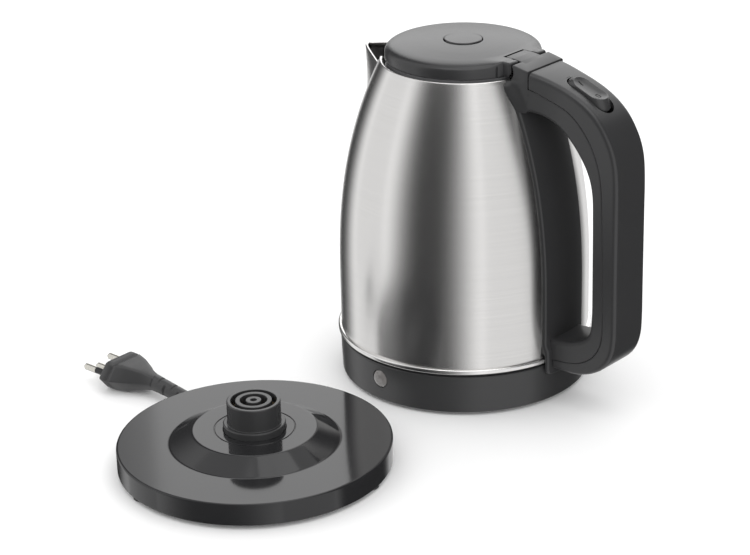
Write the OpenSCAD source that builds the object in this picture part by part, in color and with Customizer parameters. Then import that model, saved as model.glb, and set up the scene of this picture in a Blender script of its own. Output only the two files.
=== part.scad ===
/* [Kettle body] */
// Outer radius of the steel vessel below the shoulder
body_r = 75.5; // [74:0.5:77]
// Outer radius of the steel vessel just under its rolled mouth
neck_r = 49; // [47:0.5:51]
// Height at which the vessel wall starts to lean inwards
shoulder_z = 62; // [50:1:75]
// Height of the vessel wall's upper end
mouth_z = 195.5; // [190:0.5:200]
// Exponent of the curve that leans the wall inwards
shoulder_power = 2.4; // [2:0.1:3]
// Thickness of the steel sheet
sheet = 0.8; // [0.6:0.1:1]
// Radius of the rolled bead round the mouth
bead_r = 0.9; // [0.7:0.1:1.2]
// Height of the vessel wall's lower edge
wall_foot_z = 28; // [27.5:0.1:28.5]
// Height of the water side of the vessel floor
floor_z = 34; // [33:0.5:36]
// Radius of the steam hole behind the handle
steam_hole_r = 3; // [2:0.5:4]
// Depth of the steam hole under the wall's upper end
steam_hole_drop = 8.5; // [7:0.5:11]

/* [Spout] */
// Depth of the pouring lip under the wall's upper end
lip_drop = 4.9; // [3:0.1:7]
// Reach of the pouring lip beyond the vessel's mouth
lip_run = 26.4; // [22:0.2:26.4]
// Rounding radius of the pouring lip's point
lip_point_r = 3; // [2:0.5:5]
// Half the width of the spout where it leaves the vessel
spout_half = 26.8; // [24:0.5:28]
// Height of the spout from its lowest point to the wall's upper end
spout_drop = 55.5; // [40:0.5:65]

/* [Foot] */
// Step of the plastic foot's top edge beyond the vessel
foot_step = 0.6; // [0.2:0.1:1.4]
// Inward lean of the plastic foot from top to bottom
foot_lean = 0.9; // [0.2:0.1:1.5]
// Height of the foot's bottom edge
foot_low_z = 1.2; // [0.8:0.1:2]
// Height of the foot's top edge
foot_top_z = 26.2; // [25:0.2:26.6]
// Wall thickness of the foot
foot_wall = 2.4; // [2:0.2:3]
// Reach of the polished trim ring beyond the vessel
trim_proud = 1.9; // [1.2:0.1:3]
// Height of the trim ring's lower edge
trim_z = 27; // [26.8:0.1:27.2]
// Height of the trim ring
trim_h = 4.8; // [4:0.2:6]
// Inset of the ring the kettle stands on
rest_inset = 2.8; // [2.6:0.1:5]
// Width of the ring the kettle stands on
rest_w = 6.4; // [4:0.4:8]
// Radius of the indicator lens
lens_r = 5.3; // [4:0.1:6]
// Height of the indicator lens
lens_z = 15.3; // [13:0.1:17]
// Bearing of the indicator lens round the vessel
lens_turn = -93; // [-100:1:-80]
// Inset of the cover screws from the ring the kettle stands on
cover_screw_inset = 11.4; // [9:0.2:13]

/* [Heater and socket] */
// Radius of the aluminium heat spreader
spreader_r = 52; // [45:1:60]
// Thickness of the heat spreader
spreader_t = 3; // [2:0.5:4]
// Bending radius of the heating element
element_r = 40; // [36:1:44]
// Radius of the heating element's sheath
sheath_r = 3.3; // [3:0.1:3.5]
// Outer radius of the control unit
control_r = 27; // [24:1:29]
// Underside height of the control unit's shoulder
control_z = 11; // [10.5:0.5:12]
// Free space round the base's tower in the socket
socket_gap = 1.2; // [0.8:0.1:1.6]
// Free space round the tower's foot collar in the socket's mouth
mouth_gap = 0.7; // [0.5:0.1:1.2]
// Height of the socket's ceiling
socket_top_z = 26; // [25:0.5:27]
// Middle radius of the outer contact ring
outer_ring_r = 11.6; // [11:0.1:12]
// Middle radius of the inner contact ring
inner_ring_r = 6; // [5.5:0.1:6.4]
// Thickness of the contact rings
ring_t = 1; // [0.8:0.1:1.2]

/* [Handle] */
// Half the width of the grip
grip_half = 13.9; // [12:0.1:16]
// Half the width of the handle's back plate on the vessel
plate_half = 18.5; // [16:0.5:20]
// Thickness of the handle's back plate
plate_t = 2; // [1.6:0.2:3]
// Height of the back plate's lower edge
plate_low_z = 19.5; // [18:0.5:22]
// Edge rounding of the outer handle shell
shell_edge = 2.4; // [1:0.2:4]
// Edge rounding of the inner grip
grip_edge = 3; // [2:0.2:5]
// Width of the parting line between the handle shells
seam_gap = 0.3; // [0.2:0.1:0.5]
// Half the width of the hinge block behind the lid
block_half = 17; // [15:0.5:19]

/* [Switch] */
// Length of the rocker's recess
recess_len = 35; // [32:0.5:38]
// Width of the rocker's recess
recess_w = 15; // [13:0.5:17]
// Middle of the rocker, out from the vessel's side
rocker_out = 16.3; // [15:0.1:18]
// Depth of the rocker's seat under the wall's upper end
rocker_drop = 3.7; // [2.5:0.1:5]
// Downward slope of the rocker's seat
rocker_slope = 27.5; // [25:0.5:30]
// Tilt of the rocker either side of level
rocker_tilt = 12.5; // [8:0.5:14]
// Depth of the rocker's pivot under the seat
rocker_pivot = 4; // [3:0.5:5]
// Radius of the rocker's trunnions
trunnion_r = 1.5; // [1.2:0.1:2]
// Radial play of pins that turn in bores
turn_play = 0.05; // [0.02:0.01:0.1]

/* [Lid] */
// Inset of the lid's rim from the vessel wall's upper end
lid_inset = 2.8; // [2.4:0.1:4]
// Free space between the rolled mouth and the lid
lid_gap = 0.4; // [0.3:0.1:0.8]
// Height of the lid's crown over its lower edge
lid_rise = 10.8; // [10:0.2:14]
// Inset of the hinge axis from the vessel wall's upper end
hinge_inset = 5.5; // [5:0.1:7]
// Height of the hinge axis over the lid's lower edge
hinge_rise = 4.5; // [4:0.1:5]
// Radius of the hinge pin
hinge_pin_r = 1.5; // [1.2:0.1:2]
// Barrel radius of the lid's hinge ears
ear_r = 4.6; // [4.2:0.1:4.7]
// Half the width of the fixed hinge tongue
tongue_half = 8.7; // [7:0.1:10]
// Free space between lid parts and fixed hinge parts
hinge_gap = 0.4; // [0.3:0.1:0.6]
// Radius of the round lid button
button_r = 11.2; // [10:0.2:13]
// Free space round the lid button
button_gap = 0.4; // [0.3:0.1:0.6]
// Height of the button's crown over the lid
button_proud = 0.7; // [0:0.1:2]
// Travel of the lid button
button_travel = 3; // [2:0.5:4]
// Free space between the rolled mouth and the lid liner
liner_gap = 2.2; // [1.6:0.1:3]
// Depth of the lid liner under the lid's lower edge
liner_depth = 7.4; // [6.5:0.1:9]
// Free space between the rolled mouth and the latch noses
latch_gap = 0.4; // [0.3:0.1:1]

/* [Power base] */
// Position of the base's centre, left to right
base_x = -8.4; // [-60:0.2:60]
// Position of the base's centre, front to back
base_y = -177.8; // [-200:0.2:-160]
// Outer radius of the base
base_r = 77.5; // [75:0.5:80]
// Height of the base's flat top
base_top_z = 15; // [14:0.2:17]
// Height of the skirt's lower edge
base_low_z = 2; // [1.6:0.2:3]
// Wall thickness of the base shell
base_wall = 2; // [1.6:0.2:2.6]
// Width of the flat top round the raised centre
mound_inset = 29.5; // [26:0.5:33]
// Width of the slope up to the raised centre's plateau
mound_slope = 13; // [10:0.5:15]
// Rise of the plateau over the flat top
mound_h = 7.2; // [6:0.2:8]
// Outer radius of the connector tower
tower_r = 15.1; // [14.6:0.1:15.4]
// Height of the tower over the plateau
tower_h = 17.2; // [15:0.2:18]
// Radius of the tower's foot collar
collar_r = 17.6; // [17:0.1:17.8]
// Height of the tower's foot collar
collar_h = 4; // [3:0.2:5]
// Radius of the rubber feet
pad_r = 4.5; // [3:0.5:6]

/* [Cord and plug] */
// Radius of the mains cord
cord_r = 3.25; // [3:0.05:3.5]
// Mean radius of the inner stored turn
turn_r = 43.8; // [40:0.2:46]
// Height of the stored turns' centre
turn_z = 5.6; // [5:0.1:6.5]
// Position of the plug's pin face, left to right
plug_x = -147; // [-150:0.5:-140]
// Position of the plug's middle line, front to back
plug_y = -151.5; // [-155:0.5:-148]
// Height of the plug's middle line
plug_z = 8.5; // [8:0.1:9]
// Width of the plug over its corners
plug_w = 34; // [32:0.5:38]
// Length of the plug's pins
pin_len = 19; // [18:0.5:19]
// Radius of the plug's pins
pin_r = 2; // [1.9:0.05:2.4]
// Spacing of the outer pins
pin_gap = 19; // [18:0.5:20]

/* [Hidden] */
$fn = 96;
weld_gap = 0.05;

// colours of the groups of parts
steel = [0.75, 0.75, 0.76];
bright = [0.9, 0.9, 0.9];
dark = [0.16, 0.16, 0.17];
darker = [0.08, 0.08, 0.09];
brass = [0.8, 0.65, 0.35];
alu = [0.8, 0.8, 0.82];
grey = [0.55, 0.56, 0.58];
rubber = [0.12, 0.12, 0.12];

// heights and radii that follow from the sizes above
steam_hole_z = mouth_z - steam_hole_drop;
foot_r = body_r + foot_step;
foot_low_r = foot_r - foot_lean;
trim_r = body_r + trim_proud;
rest_r = foot_low_r - rest_inset;
cover_screw_r = rest_r - cover_screw_inset;
lip_z = mouth_z - lip_drop;
lip_reach = neck_r + lip_run;
spout_foot_z = mouth_z - spout_drop;
lid_low_z = mouth_z + bead_r + lid_gap;
lid_top_z = lid_low_z + lid_rise;
lid_r = neck_r - lid_inset;
hinge_x = neck_r - hinge_inset;
hinge_z = lid_low_z + hinge_rise;
block_top_z = hinge_z + ear_r + 0.1;
button_top_z = lid_top_z + button_proud;
liner_r = neck_r - 2 * bead_r - liner_gap;
liner_z = lid_low_z - liner_depth;
latch_reach = neck_r - 2 * bead_r - latch_gap;
mound_low_r = base_r - mound_inset;
mound_top_r = mound_low_r - mound_slope;
socket_r = tower_r + socket_gap;
socket_mouth_r = collar_r + mouth_gap;

// outer radius of the vessel wall at height z
function wall_r(z) = z <= shoulder_z ? body_r : body_r - (body_r - neck_r)
  * pow((z - shoulder_z) / (mouth_z - shoulder_z), shoulder_power);
wall_steps = 13;
shoulder_heights = [for (i = [0:wall_steps]) shoulder_z + (mouth_z - shoulder_z) * i / wall_steps];
wall_line = concat([[body_r, wall_foot_z]], [for (z = shoulder_heights) [wall_r(z), z]]);
n_wall = len(wall_line);
function shifted(d) = [for (p = wall_line) [p[0] + d, p[1]]];

function unit(v) = v / norm(v);
// an outline whose corners may carry a third number, the radius that rounds them
arc_steps = 5;
function arc_at(a, b, c) = let (u = unit([a[0] - b[0], a[1] - b[1]]), v = unit([c[0] - b[0], c[1] - b[1]]),
    half = acos(u * v) / 2, middle = [b[0], b[1]] + unit(u + v) * b[2] / sin(half),
    p = [b[0], b[1]] + u * b[2] / tan(half) - middle, q = [b[0], b[1]] + v * b[2] / tan(half) - middle,
    turn = 180 - 2 * half)
  [for (k = [0:arc_steps]) middle + (p * sin(turn * (1 - k / arc_steps)) + q * sin(turn * k / arc_steps)) / sin(turn)];
function rounded(list) = let (n = len(list)) [for (i = [0:n - 1])
  each (len(list[i]) == 2 ? [list[i]] : arc_at(list[(i + n - 1) % n], list[i], list[(i + 1) % n]))];

// a solid from matching outlines, one after another
module loft(rings) {
  n = len(rings[0]);
  m = len(rings);
  polyhedron(points = [for (r = rings) for (p = r) p],
    faces = concat([[for (j = [n - 1:-1:0]) j]], [[for (j = [0:n - 1]) (m - 1) * n + j]],
      [for (i = [0:m - 2]) for (j = [0:n - 1]) for (t = [0, 1]) t == 0
        ? [i * n + j, i * n + (j + 1) % n, (i + 1) * n + j]
        : [i * n + (j + 1) % n, (i + 1) * n + (j + 1) % n, (i + 1) * n + j]]));
}

// a flat outline in X and Z, made solid to both sides of the middle plane
module side_on(half) {
  rotate([90, 0, 0]) linear_extrude(2 * half, center = true) children();
}

// everything inside the vessel wall's outer face
module vessel_solid(d = 0) {
  rotate_extrude() polygon(concat([[0, wall_foot_z]], shifted(d), [[0, mouth_z]]));
}

// ---------------------------------------------------------------- vessel
// outlines of the spout seen from above, at falling heights
spout_levels = [[lip_z, 0, 1], [mouth_z - 15.5, 1.6, 0.985], [mouth_z - 30.5, 3.4, 0.84],
  [mouth_z - 43.5, 5.2, 0.55], [spout_foot_z, 7, 0.12]];
module spout_slab(z, reach, half, t, in) {
  back = sqrt(pow(wall_r(z), 2) - pow(min(half, wall_r(z) - 1), 2));
  translate([0, 0, z - t / 2]) linear_extrude(t) {
    translate([-(reach - lip_point_r), 0]) circle(lip_point_r - in * 0.6, $fn = 24);
    for (s = [-1, 1]) translate([-back + in, s * (half - in)]) circle(0.3, $fn = 8);
    if (in > 0) for (s = [-1, 1]) translate([-back + 9, s * (half - in - 1)]) circle(0.3, $fn = 8);
  }
}
module spout_form(in, top) {
  hull() {
    for (l = spout_levels)
      spout_slab(l[0], lip_reach - l[1] - in * 1.2, max(spout_half * l[2], 1.5 + in), 0.2, in);
    if (top) spout_slab(mouth_z + 3, lip_reach - 2, spout_half - 4, 0.2, in);
  }
}

module body_shell() {
  color(steel) difference() {
    union() {
      rotate_extrude() polygon(concat(shifted(0),
        [for (i = [n_wall - 1:-1:0]) [wall_line[i][0] - sheet, wall_line[i][1]]]));
      rotate_extrude() translate([neck_r - bead_r, mouth_z]) circle(bead_r, $fn = 16);
    }
    spout_form(sheet, true);
    translate([neck_r - 6, 0, steam_hole_z]) rotate([0, 90, 0]) cylinder(r = steam_hole_r, h = 20, $fn = 32);
  }
}

module spout() {
  color(steel) difference() {
    spout_form(0, false);
    spout_form(sheet, true);
    vessel_solid(weld_gap);
  }
}

module trim_ring() {
  color(bright) rotate_extrude() polygon(rounded([[body_r, trim_z + trim_h],
    [trim_r, trim_z + trim_h - 0.8, trim_proud * 0.75], [trim_r, trim_z, trim_proud * 0.65],
    [body_r - sheet, trim_z], [body_r - sheet, wall_foot_z], [body_r, wall_foot_z]]));
}

module floor_plate() {
  color(steel) rotate_extrude() polygon([[0, floor_z - sheet], [body_r - 2 * sheet, floor_z - sheet],
    [body_r - 2 * sheet, wall_foot_z + 1], [body_r - sheet, wall_foot_z + 1],
    [body_r - sheet, floor_z], [0, floor_z]]);
}

module heat_spreader() {
  color(alu) translate([0, 0, floor_z - sheet - spreader_t]) cylinder(r = spreader_r, h = spreader_t);
}

element_z = floor_z - sheet - spreader_t - sheath_r;
module heating_element() {
  color(steel) union() {
    translate([0, 0, element_z]) rotate([0, 0, 25]) rotate_extrude(angle = 310)
      translate([element_r, 0]) circle(sheath_r, $fn = 24);
    for (a = [27, -27]) rotate([0, 0, a]) translate([element_r, 0, element_z - 11])
      cylinder(r = 2.2, h = 11, $fn = 24);
  }
}

// ---------------------------------------------------------------- socket
control_top_z = floor_z - sheet - spreader_t;
mouth_top_z = control_z + 1.4;
module control_unit() {
  color(darker) rotate_extrude() polygon([[socket_mouth_r, 8.8], [socket_mouth_r + 1.6, 8.8],
    [socket_mouth_r + 1.6, control_z], [control_r, control_z], [control_r, control_top_z - 1],
    [control_r - 1, control_top_z], [0, control_top_z], [0, socket_top_z], [socket_r, socket_top_z],
    [socket_r, mouth_top_z + 1], [socket_mouth_r, mouth_top_z]]);
}
module ring_blade(r) {
  rotate_extrude() translate([r - ring_t / 2, socket_top_z - 12]) square([ring_t, 12]);
}
module socket_outer_ring() { color(brass) ring_blade(outer_ring_r); }
module socket_inner_ring() { color(brass) ring_blade(inner_ring_r); }
module socket_pin() {
  color(brass) translate([0, 0, socket_top_z - 13.5]) cylinder(r1 = 0.8, r2 = 1.2, h = 1.5, $fn = 24);
  color(brass) translate([0, 0, socket_top_z - 12]) cylinder(r = 1.2, h = 12, $fn = 24);
}

// ---------------------------------------------------------------- foot
neck_in = body_r - 2 * sheet - 0.3;
cover_turns = [90, 210, 330];
module foot_housing() {
  color(dark) difference() {
    union() {
      rotate_extrude() polygon([[foot_low_r - 0.8, foot_low_z], [foot_low_r, foot_low_z + 0.8],
        [foot_low_r + 0.3, 9], [foot_r, foot_top_z], [neck_in, foot_top_z], [neck_in, wall_foot_z + 2],
        [neck_in - 2, wall_foot_z + 2], [neck_in - 2, foot_top_z - 2], [foot_r - foot_wall, foot_top_z - 4],
        [foot_low_r - foot_wall, foot_low_z]]);
      for (a = cover_turns) rotate([0, 0, a]) {
        translate([cover_screw_r, 0, 3.4]) cylinder(r = 4, h = 14, $fn = 32);
        translate([cover_screw_r + 3, -1, 5]) cube([foot_low_r - foot_wall - cover_screw_r - 2, 2, 12]);
      }
    }
    for (a = cover_turns) rotate([0, 0, a]) translate([cover_screw_r, 0, 3])
      cylinder(r = 1.5, h = 9, $fn = 24);
    rotate([0, 0, lens_turn]) translate([foot_low_r - 6, 0, lens_z]) rotate([0, 90, 0])
      cylinder(r = lens_r, h = 12, $fn = 48);
  }
}

recess_r = mound_low_r + 3.4;
recess_z = mound_h + 1.4;
module bottom_cover() {
  color(dark) difference() {
    rotate_extrude() polygon([[rest_r, 0.5], [rest_r, 3.4], [recess_r, 3.4], [mound_top_r + 1.6, recess_z + 2],
      [socket_mouth_r + 2.2, recess_z + 2], [socket_mouth_r + 2.2, recess_z], [mound_top_r + 2.4, recess_z],
      [recess_r - 0.8, 1], [rest_r - rest_w, 1], [rest_r - rest_w + 1, 0], [rest_r - 0.5, 0]]);
    for (a = cover_turns) rotate([0, 0, a]) translate([cover_screw_r, 0, 0]) {
      cylinder(r = 1.7, h = 5, $fn = 24);
      translate([0, 0, -1]) cylinder(r = 3.4, h = 2.9, $fn = 32);
    }
  }
}

module cover_screws() {
  color(grey) for (a = cover_turns) rotate([0, 0, a]) translate([cover_screw_r, 0, 0]) difference() {
    union() {
      translate([0, 0, 1.2]) cylinder(r = 3, h = 0.7, $fn = 32);
      translate([0, 0, 1.9]) cylinder(r = 1.5, h = 8, $fn = 24);
    }
    for (t = [0, 90]) rotate([0, 0, t]) translate([-1.6, -0.3, 1]) cube([3.2, 0.6, 0.6]);
  }
}

lens_depth = 3.4;
module indicator_lens() {
  color(grey) rotate([0, 0, lens_turn]) translate([foot_low_r - lens_depth, 0, lens_z]) rotate([0, 90, 0])
    rotate_extrude() polygon([[0, 0], [lens_r + 1, 0], [lens_r + 1, 0.6], [lens_r - 0.05, 0.6],
      [lens_r - 0.05, 3.7], [lens_r - 0.8, 4.4], [lens_r - 2.6, 4.9], [0, 5.1]]);
}

module indicator_lamp() {
  color(brass) rotate([0, 0, lens_turn]) translate([foot_low_r - 14, 0, lens_z]) rotate([0, 90, 0]) {
    cylinder(r = 2, h = 14 - lens_depth - 0.3, $fn = 24);
    translate([0, 0, -2]) cylinder(r = 3.5, h = 3, $fn = 24);
  }
}

// ---------------------------------------------------------------- handle
// matching points along the handle: outer edge, parting line and grip side, out from the
// vessel's side; the first ones are counted from its mouth, the others from the trim ring
n_top = 11;
function stand(p, i) = [body_r + p[0], p[1] + (i < n_top ? mouth_z : trim_z)];
function near_top(list) = [for (p = list) [body_r + p[0], mouth_z + p[1]]];
outer_line = [
  [-15, 7.7], [-7.5, 6.4], [1.5, 4.2], [10.5, 1.3], [19.5, -2.7], [27.5, -8.1], [34, -14.5],
  [39.1, -22.2], [42.7, -30.1], [44.9, -39.5], [45.8, -52.5], [46, 98], [46.2, 73], [46.5, 51],
  [46.8, 35], [46.1, 23], [43.3, 13.6], [38, 6.3], [30.5, 0.8], [21.5, -2.8], [12.5, -3.8],
  [3, -4]];
seam_line = [
  [-15, -2.6], [-8.5, -4.3], [-2, -6.5], [4.5, -8.5], [11.5, -11.5], [17, -15.9], [21.8, -21.2],
  [26.3, -27.5], [30, -35], [33.1, -43.5], [34.7, -54.5], [35.5, 98], [36.3, 73], [37.2, 51],
  [37.9, 35], [37.5, 24.5], [34.9, 16.6], [29.5, 9.8], [22, 5.2], [13.5, 3], [6.5, 2.2], [3, 2]];
grip_line = [
  [-17.5, -17.3], [-10.5, -17.5], [-5, -18.5], [0.5, -20.3], [6, -23.3], [11.5, -27.5],
  [16.3, -32.3], [20.5, -37.7], [24.1, -43.5], [26.9, -50.5], [28.5, -59.5], [28.9, 95],
  [29.1, 73], [29.3, 51], [29.3, 37], [28.1, 26], [24, 20.5], [17, 17.2], [10.5, 15.6],
  [5.5, 15], [1.5, 14.8], [-3.5, 14.8]];
n_line = len(outer_line);
// a smooth curve through a list of points, at t counted in points
function between(a, b, c, d, t) = 0.5 * (2 * b + (c - a) * t + (2 * a - 5 * b + 4 * c - d) * t * t
  + (3 * b - a - 3 * c + d) * t * t * t);
function on_curve(list, t) = let (n = len(list), i = min(floor(t), n - 2), a = list[max(i - 1, 0)],
    d = list[min(i + 2, n - 1)]) between(a, list[i], list[i + 1], d, t - i);
slices = 42;
function placed_line(line) = [for (i = [0:n_line - 1]) stand(line[i], i)];
function smooth_line(line) = let (p = placed_line(line))
  [for (k = [0:slices]) on_curve(p, (n_line - 1) * k / slices)];
outer_curve = smooth_line(outer_line);
seam_curve = smooth_line(seam_line);
grip_curve = smooth_line(grip_line);
// one slice of a half of the handle: from the parting line to a face with two rounded edges
round_turns = [0, 30, 60, 90];
function slice_to(f, s, r, h) = let (u = unit(f - s), a = s + u * seam_gap / 2)
  concat([[a, -h]], [for (t = round_turns) [f - u * (r - r * sin(t)), -h + r - r * cos(t)]],
    [for (t = round_turns) [f - u * (r - r * cos(t)), h - r + r * sin(t)]], [[a, h]]);
function shell_slice(i) = slice_to(outer_curve[i], seam_curve[i], shell_edge, grip_half);
function reversed(list) = [for (i = [len(list) - 1:-1:0]) list[i]];
function grip_slice(i) = reversed(slice_to(grip_curve[i], seam_curve[i], grip_edge, grip_half));
function in_space(slice) = [for (p = slice) [p[0][0], p[1], p[0][1]]];

arm_screw_x = body_r + 22.5;
arm_seat_z = trim_z + 0.5;
rocker_x = body_r + rocker_out;
rocker_z = mouth_z - rocker_drop;
// the rocker's own frame: X down the slope, Z out of the handle
module at_rocker() {
  translate([rocker_x, 0, rocker_z]) rotate([0, rocker_slope, 0]) children();
}
module stadium(l, w, h) {
  linear_extrude(h) union() {
    square([l - w, w], center = true);
    for (s = [-1, 1]) translate([s * (l - w) / 2, 0]) circle(w / 2, $fn = 48);
  }
}

module handle_shell() {
  color(dark) difference() {
    loft([for (i = [0:slices]) in_space(shell_slice(i))]);
    at_rocker() translate([0, 0, -12]) stadium(recess_len, recess_w, 30);
    cylinder(r = trim_r + plate_t + seam_gap, h = 60);
    translate([arm_screw_x, 0, 20]) cylinder(r = 3, h = arm_seat_z - 20, $fn = 32);
    translate([arm_screw_x, 0, 20]) cylinder(r = 1.7, h = 14, $fn = 24);
  }
}

module handle_screws() {
  color(grey) translate([arm_screw_x, 0, arm_seat_z]) difference() {
    union() {
      translate([0, 0, -1.4]) cylinder(r = 2.7, h = 1.4, $fn = 32);
      cylinder(r = 1.5, h = 10, $fn = 24);
    }
    for (t = [0, 90]) rotate([0, 0, t]) translate([-1.5, -0.3, -2]) cube([3, 0.6, 1.2]);
  }
}

// clearance over the vessel's rolled mouth
rim_clear_z = mouth_z + bead_r + 0.8;
tongue_r = norm([6.7, block_top_z - hinge_z]) - hinge_gap;
socket_sweep = ear_r * sqrt(2) + hinge_gap;
// the upper arm's width, seen from above, from the vessel out to the grip
module arm_root(half, from) {
  x = body_r - 15.2;
  translate([0, 0, mouth_z - 25]) linear_extrude(50) polygon([[hinge_x - 14, -half], [from, -half],
    [x, -grip_half - 0.4], [x, grip_half + 0.4], [from, half], [hinge_x - 14, half]]);
}
module handle_frame() {
  color(dark) difference() {
    union() {
      loft([for (i = [0:slices]) in_space(grip_slice(i))]);
      // hinge block over the vessel's mouth, with the tongue between the lid's ears
      intersection() {
        side_on(block_half + 1) difference() {
          polygon(concat([[hinge_x, rim_clear_z], [hinge_x, block_top_z]],
            near_top([[-15.3, 7.8], [-15.3, -5.5]]), [[neck_r + 1, mouth_z - 5.5]]));
          translate([hinge_x, hinge_z]) circle(socket_sweep);
        }
        arm_root(block_half, neck_r + 2);
      }
      side_on(tongue_half) intersection() {
        polygon([[hinge_x - 14, rim_clear_z], [hinge_x - 14, block_top_z], [hinge_x, block_top_z],
          [hinge_x + 9, block_top_z - 1.4], [hinge_x + 9, rim_clear_z]]);
        union() {
          translate([hinge_x, hinge_z]) circle(tongue_r);
          translate([hinge_x + 3, rim_clear_z - 6]) square([6, 20]);
        }
      }
      // root of the upper arm on the vessel's flank
      intersection() {
        side_on(plate_half) polygon(concat([[neck_r - 5, mouth_z - 17.3]],
          near_top([[-17, -17.3], [-15.3, -15.5], [-15.3, 0.5]]), [[neck_r - 5, mouth_z + 0.5]]));
        arm_root(plate_half, neck_r + 5);
      }
      // back plate along the vessel, lapping the trim ring and the foot
      intersection() {
        rotate_extrude() polygon(concat([[body_r - 6, plate_low_z], [trim_r + plate_t - 1, plate_low_z],
          [trim_r + plate_t, plate_low_z + 1], [trim_r + plate_t, trim_z + trim_h + 1],
          [body_r + plate_t, trim_z + trim_h + 6]],
          [for (z = shoulder_heights) if (z < mouth_z - 11.5) [wall_r(z) + plate_t, z]],
          [[neck_r + 1, mouth_z - 13.5], [neck_r + 1, shoulder_z - 2]]));
        translate([0, -plate_half, plate_low_z]) cube([body_r + 20, 2 * plate_half, mouth_z - plate_low_z]);
      }
    }
    vessel_solid();
    cylinder(r = trim_r + 0.05, h = trim_z + trim_h + 0.1);
    translate([0, 0, mouth_z - 15]) cylinder(r = neck_r + 0.1, h = rim_clear_z - mouth_z + 15);
    // pocket for the steam switch and its lever, and the steam way into it
    side_on(6.5) polygon(near_top([[-14.5, -14], [-14.5, -4.3], [-9.5, -5.7], [-3, -7.6], [3.5, -9.7],
      [8, -11.9], [7.5, -15], [0.5, -15], [-5.5, -14]]));
    translate([neck_r - 9, 0, steam_hole_z]) rotate([0, 90, 0])
      cylinder(r = steam_hole_r, h = body_r - neck_r - 4.5, $fn = 32);
    at_rocker() translate([0, 0, cup_low - 0.3]) stadium(recess_len + 0.4, recess_w + 0.4, 12);
    translate([hinge_x, 0, hinge_z]) rotate([90, 0, 0]) cylinder(r = hinge_pin_r, h = 40, center = true, $fn = 48);
    translate([arm_screw_x, 0, 26]) cylinder(r = 1.5, h = 13, $fn = 24);
  }
}

module hinge_pin() {
  color(grey) translate([hinge_x, 0, hinge_z]) rotate([90, 0, 0])
    cylinder(r = hinge_pin_r, h = 30.4, center = true, $fn = 48);
}

// ---------------------------------------------------------------- switch
cup_low = -9.6;
cup_wall = 0.95;
module switch_cup() {
  color(darker) at_rocker() difference() {
    translate([0, 0, cup_low]) stadium(recess_len - 0.1, recess_w - 0.1, -cup_low - 0.5);
    translate([0, 0, cup_low + 1.2]) stadium(recess_len - 2 * cup_wall, recess_w - 2 * cup_wall, 9);
    translate([0, 0, -rocker_pivot]) rotate([90, 0, 0])
      cylinder(r = trunnion_r + turn_play, h = 20, center = true, $fn = 48);
  }
}

rocker_top = rocker_pivot + 2.8;
rocker_len = recess_len - 4.4;
module rocker() {
  color(dark) at_rocker() translate([0, 0, -rocker_pivot]) rotate([0, -rocker_tilt, 0]) {
    intersection() {
      translate([0, 0, -6]) stadium(rocker_len, recess_w - 3.6, 16);
      side_on(8) intersection() {
        circle(rocker_len / 2 + 0.25);
        polygon([[-17, rocker_top], [-12, rocker_top - 0.5], [-6, rocker_top - 1.2], [0, rocker_top - 1.6],
          [6, rocker_top - 1.2], [12, rocker_top - 0.5], [17, rocker_top], [17, -0.2], [4, -2.9], [-4, -2.9],
          [-17, -0.2]]);
      }
    }
    rotate([90, 0, 0]) cylinder(r = trunnion_r, h = recess_w - 0.4, center = true, $fn = 48);
  }
}

lever_at = [body_r - 4.9, mouth_z - 10.1];
module steam_switch() {
  color(darker) difference() {
    union() {
      side_on(6.4) polygon(near_top([[-13.7, -14], [-7.5, -14], [-7.5, -6.4], [-9.5, -5.8], [-13.7, -4.6]]));
      for (s = [-1, 1]) translate([0, s * 4.3, 0]) side_on(0.8)
        polygon(near_top([[-9.5, -14], [-2.9, -14], [-2.9, -8.3], [-9.5, -7.9]]));
    }
    translate([lever_at[0], 0, lever_at[1]]) rotate([90, 0, 0])
      cylinder(r = 1 + turn_play, h = 20, center = true, $fn = 32);
    translate([lever_at[0], 0, lever_at[1]]) rotate([90, 0, 0])
      cylinder(r = 2.4, h = 6.8, center = true, $fn = 32);
  }
}

module bimetal_disc() {
  color(alu) translate([body_r - 14.35, 0, mouth_z - 9.3]) rotate([0, 90, 0]) cylinder(r = 4.3, h = 0.4, $fn = 48);
}

module trip_lever() {
  color(grey) translate([lever_at[0], 0, lever_at[1]]) {
    rotate([90, 0, 0]) cylinder(r = 2, h = 6.2, center = true, $fn = 32);
    rotate([90, 0, 0]) cylinder(r = 1, h = 9.6, center = true, $fn = 32);
    side_on(2) polygon([[0.5, 1.4], [8.6, -1.4], [9, -2.2], [8.2, -3], [0.5, -1.2]]);
  }
}

// ---------------------------------------------------------------- lid
well_r = button_r + button_gap;
well_foot_z = lid_low_z + 2.2;
module ears_form() {
  for (s = [-1, 1]) translate([0, s * (block_half + tongue_half + hinge_gap) / 2, 0])
    side_on((block_half - tongue_half - hinge_gap) / 2) union() {
      translate([hinge_x, hinge_z]) circle(ear_r);
      translate([hinge_x, hinge_z]) square([ear_r, ear_r]);
      polygon([[hinge_x - 10.5, hinge_z - 0.3], [hinge_x - 10.5, hinge_z + ear_r + 0.1],
        [hinge_x, hinge_z + ear_r], [hinge_x, hinge_z - ear_r], [hinge_x - 2.5, lid_low_z],
        [hinge_x - 6.5, lid_low_z]]);
    }
}
module hinge_notch() {
  side_on(tongue_half + hinge_gap) union() {
    translate([hinge_x, hinge_z]) circle(tongue_r + hinge_gap);
    translate([hinge_x, hinge_z - tongue_r - hinge_gap]) square([12, 20]);
  }
}
dome_line = [[well_r + 1, lid_top_z - 0.15], [lid_r - 26, lid_top_z - 0.5], [lid_r - 16, lid_top_z - 1.2],
  [lid_r - 8, lid_top_z - 1.9], [lid_r - 4.7, lid_top_z - 2.5], [lid_r - 2.2, lid_top_z - 3.5],
  [lid_r - 0.6, lid_top_z - 4.9], [lid_r, lid_top_z - 6.8]];
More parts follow.
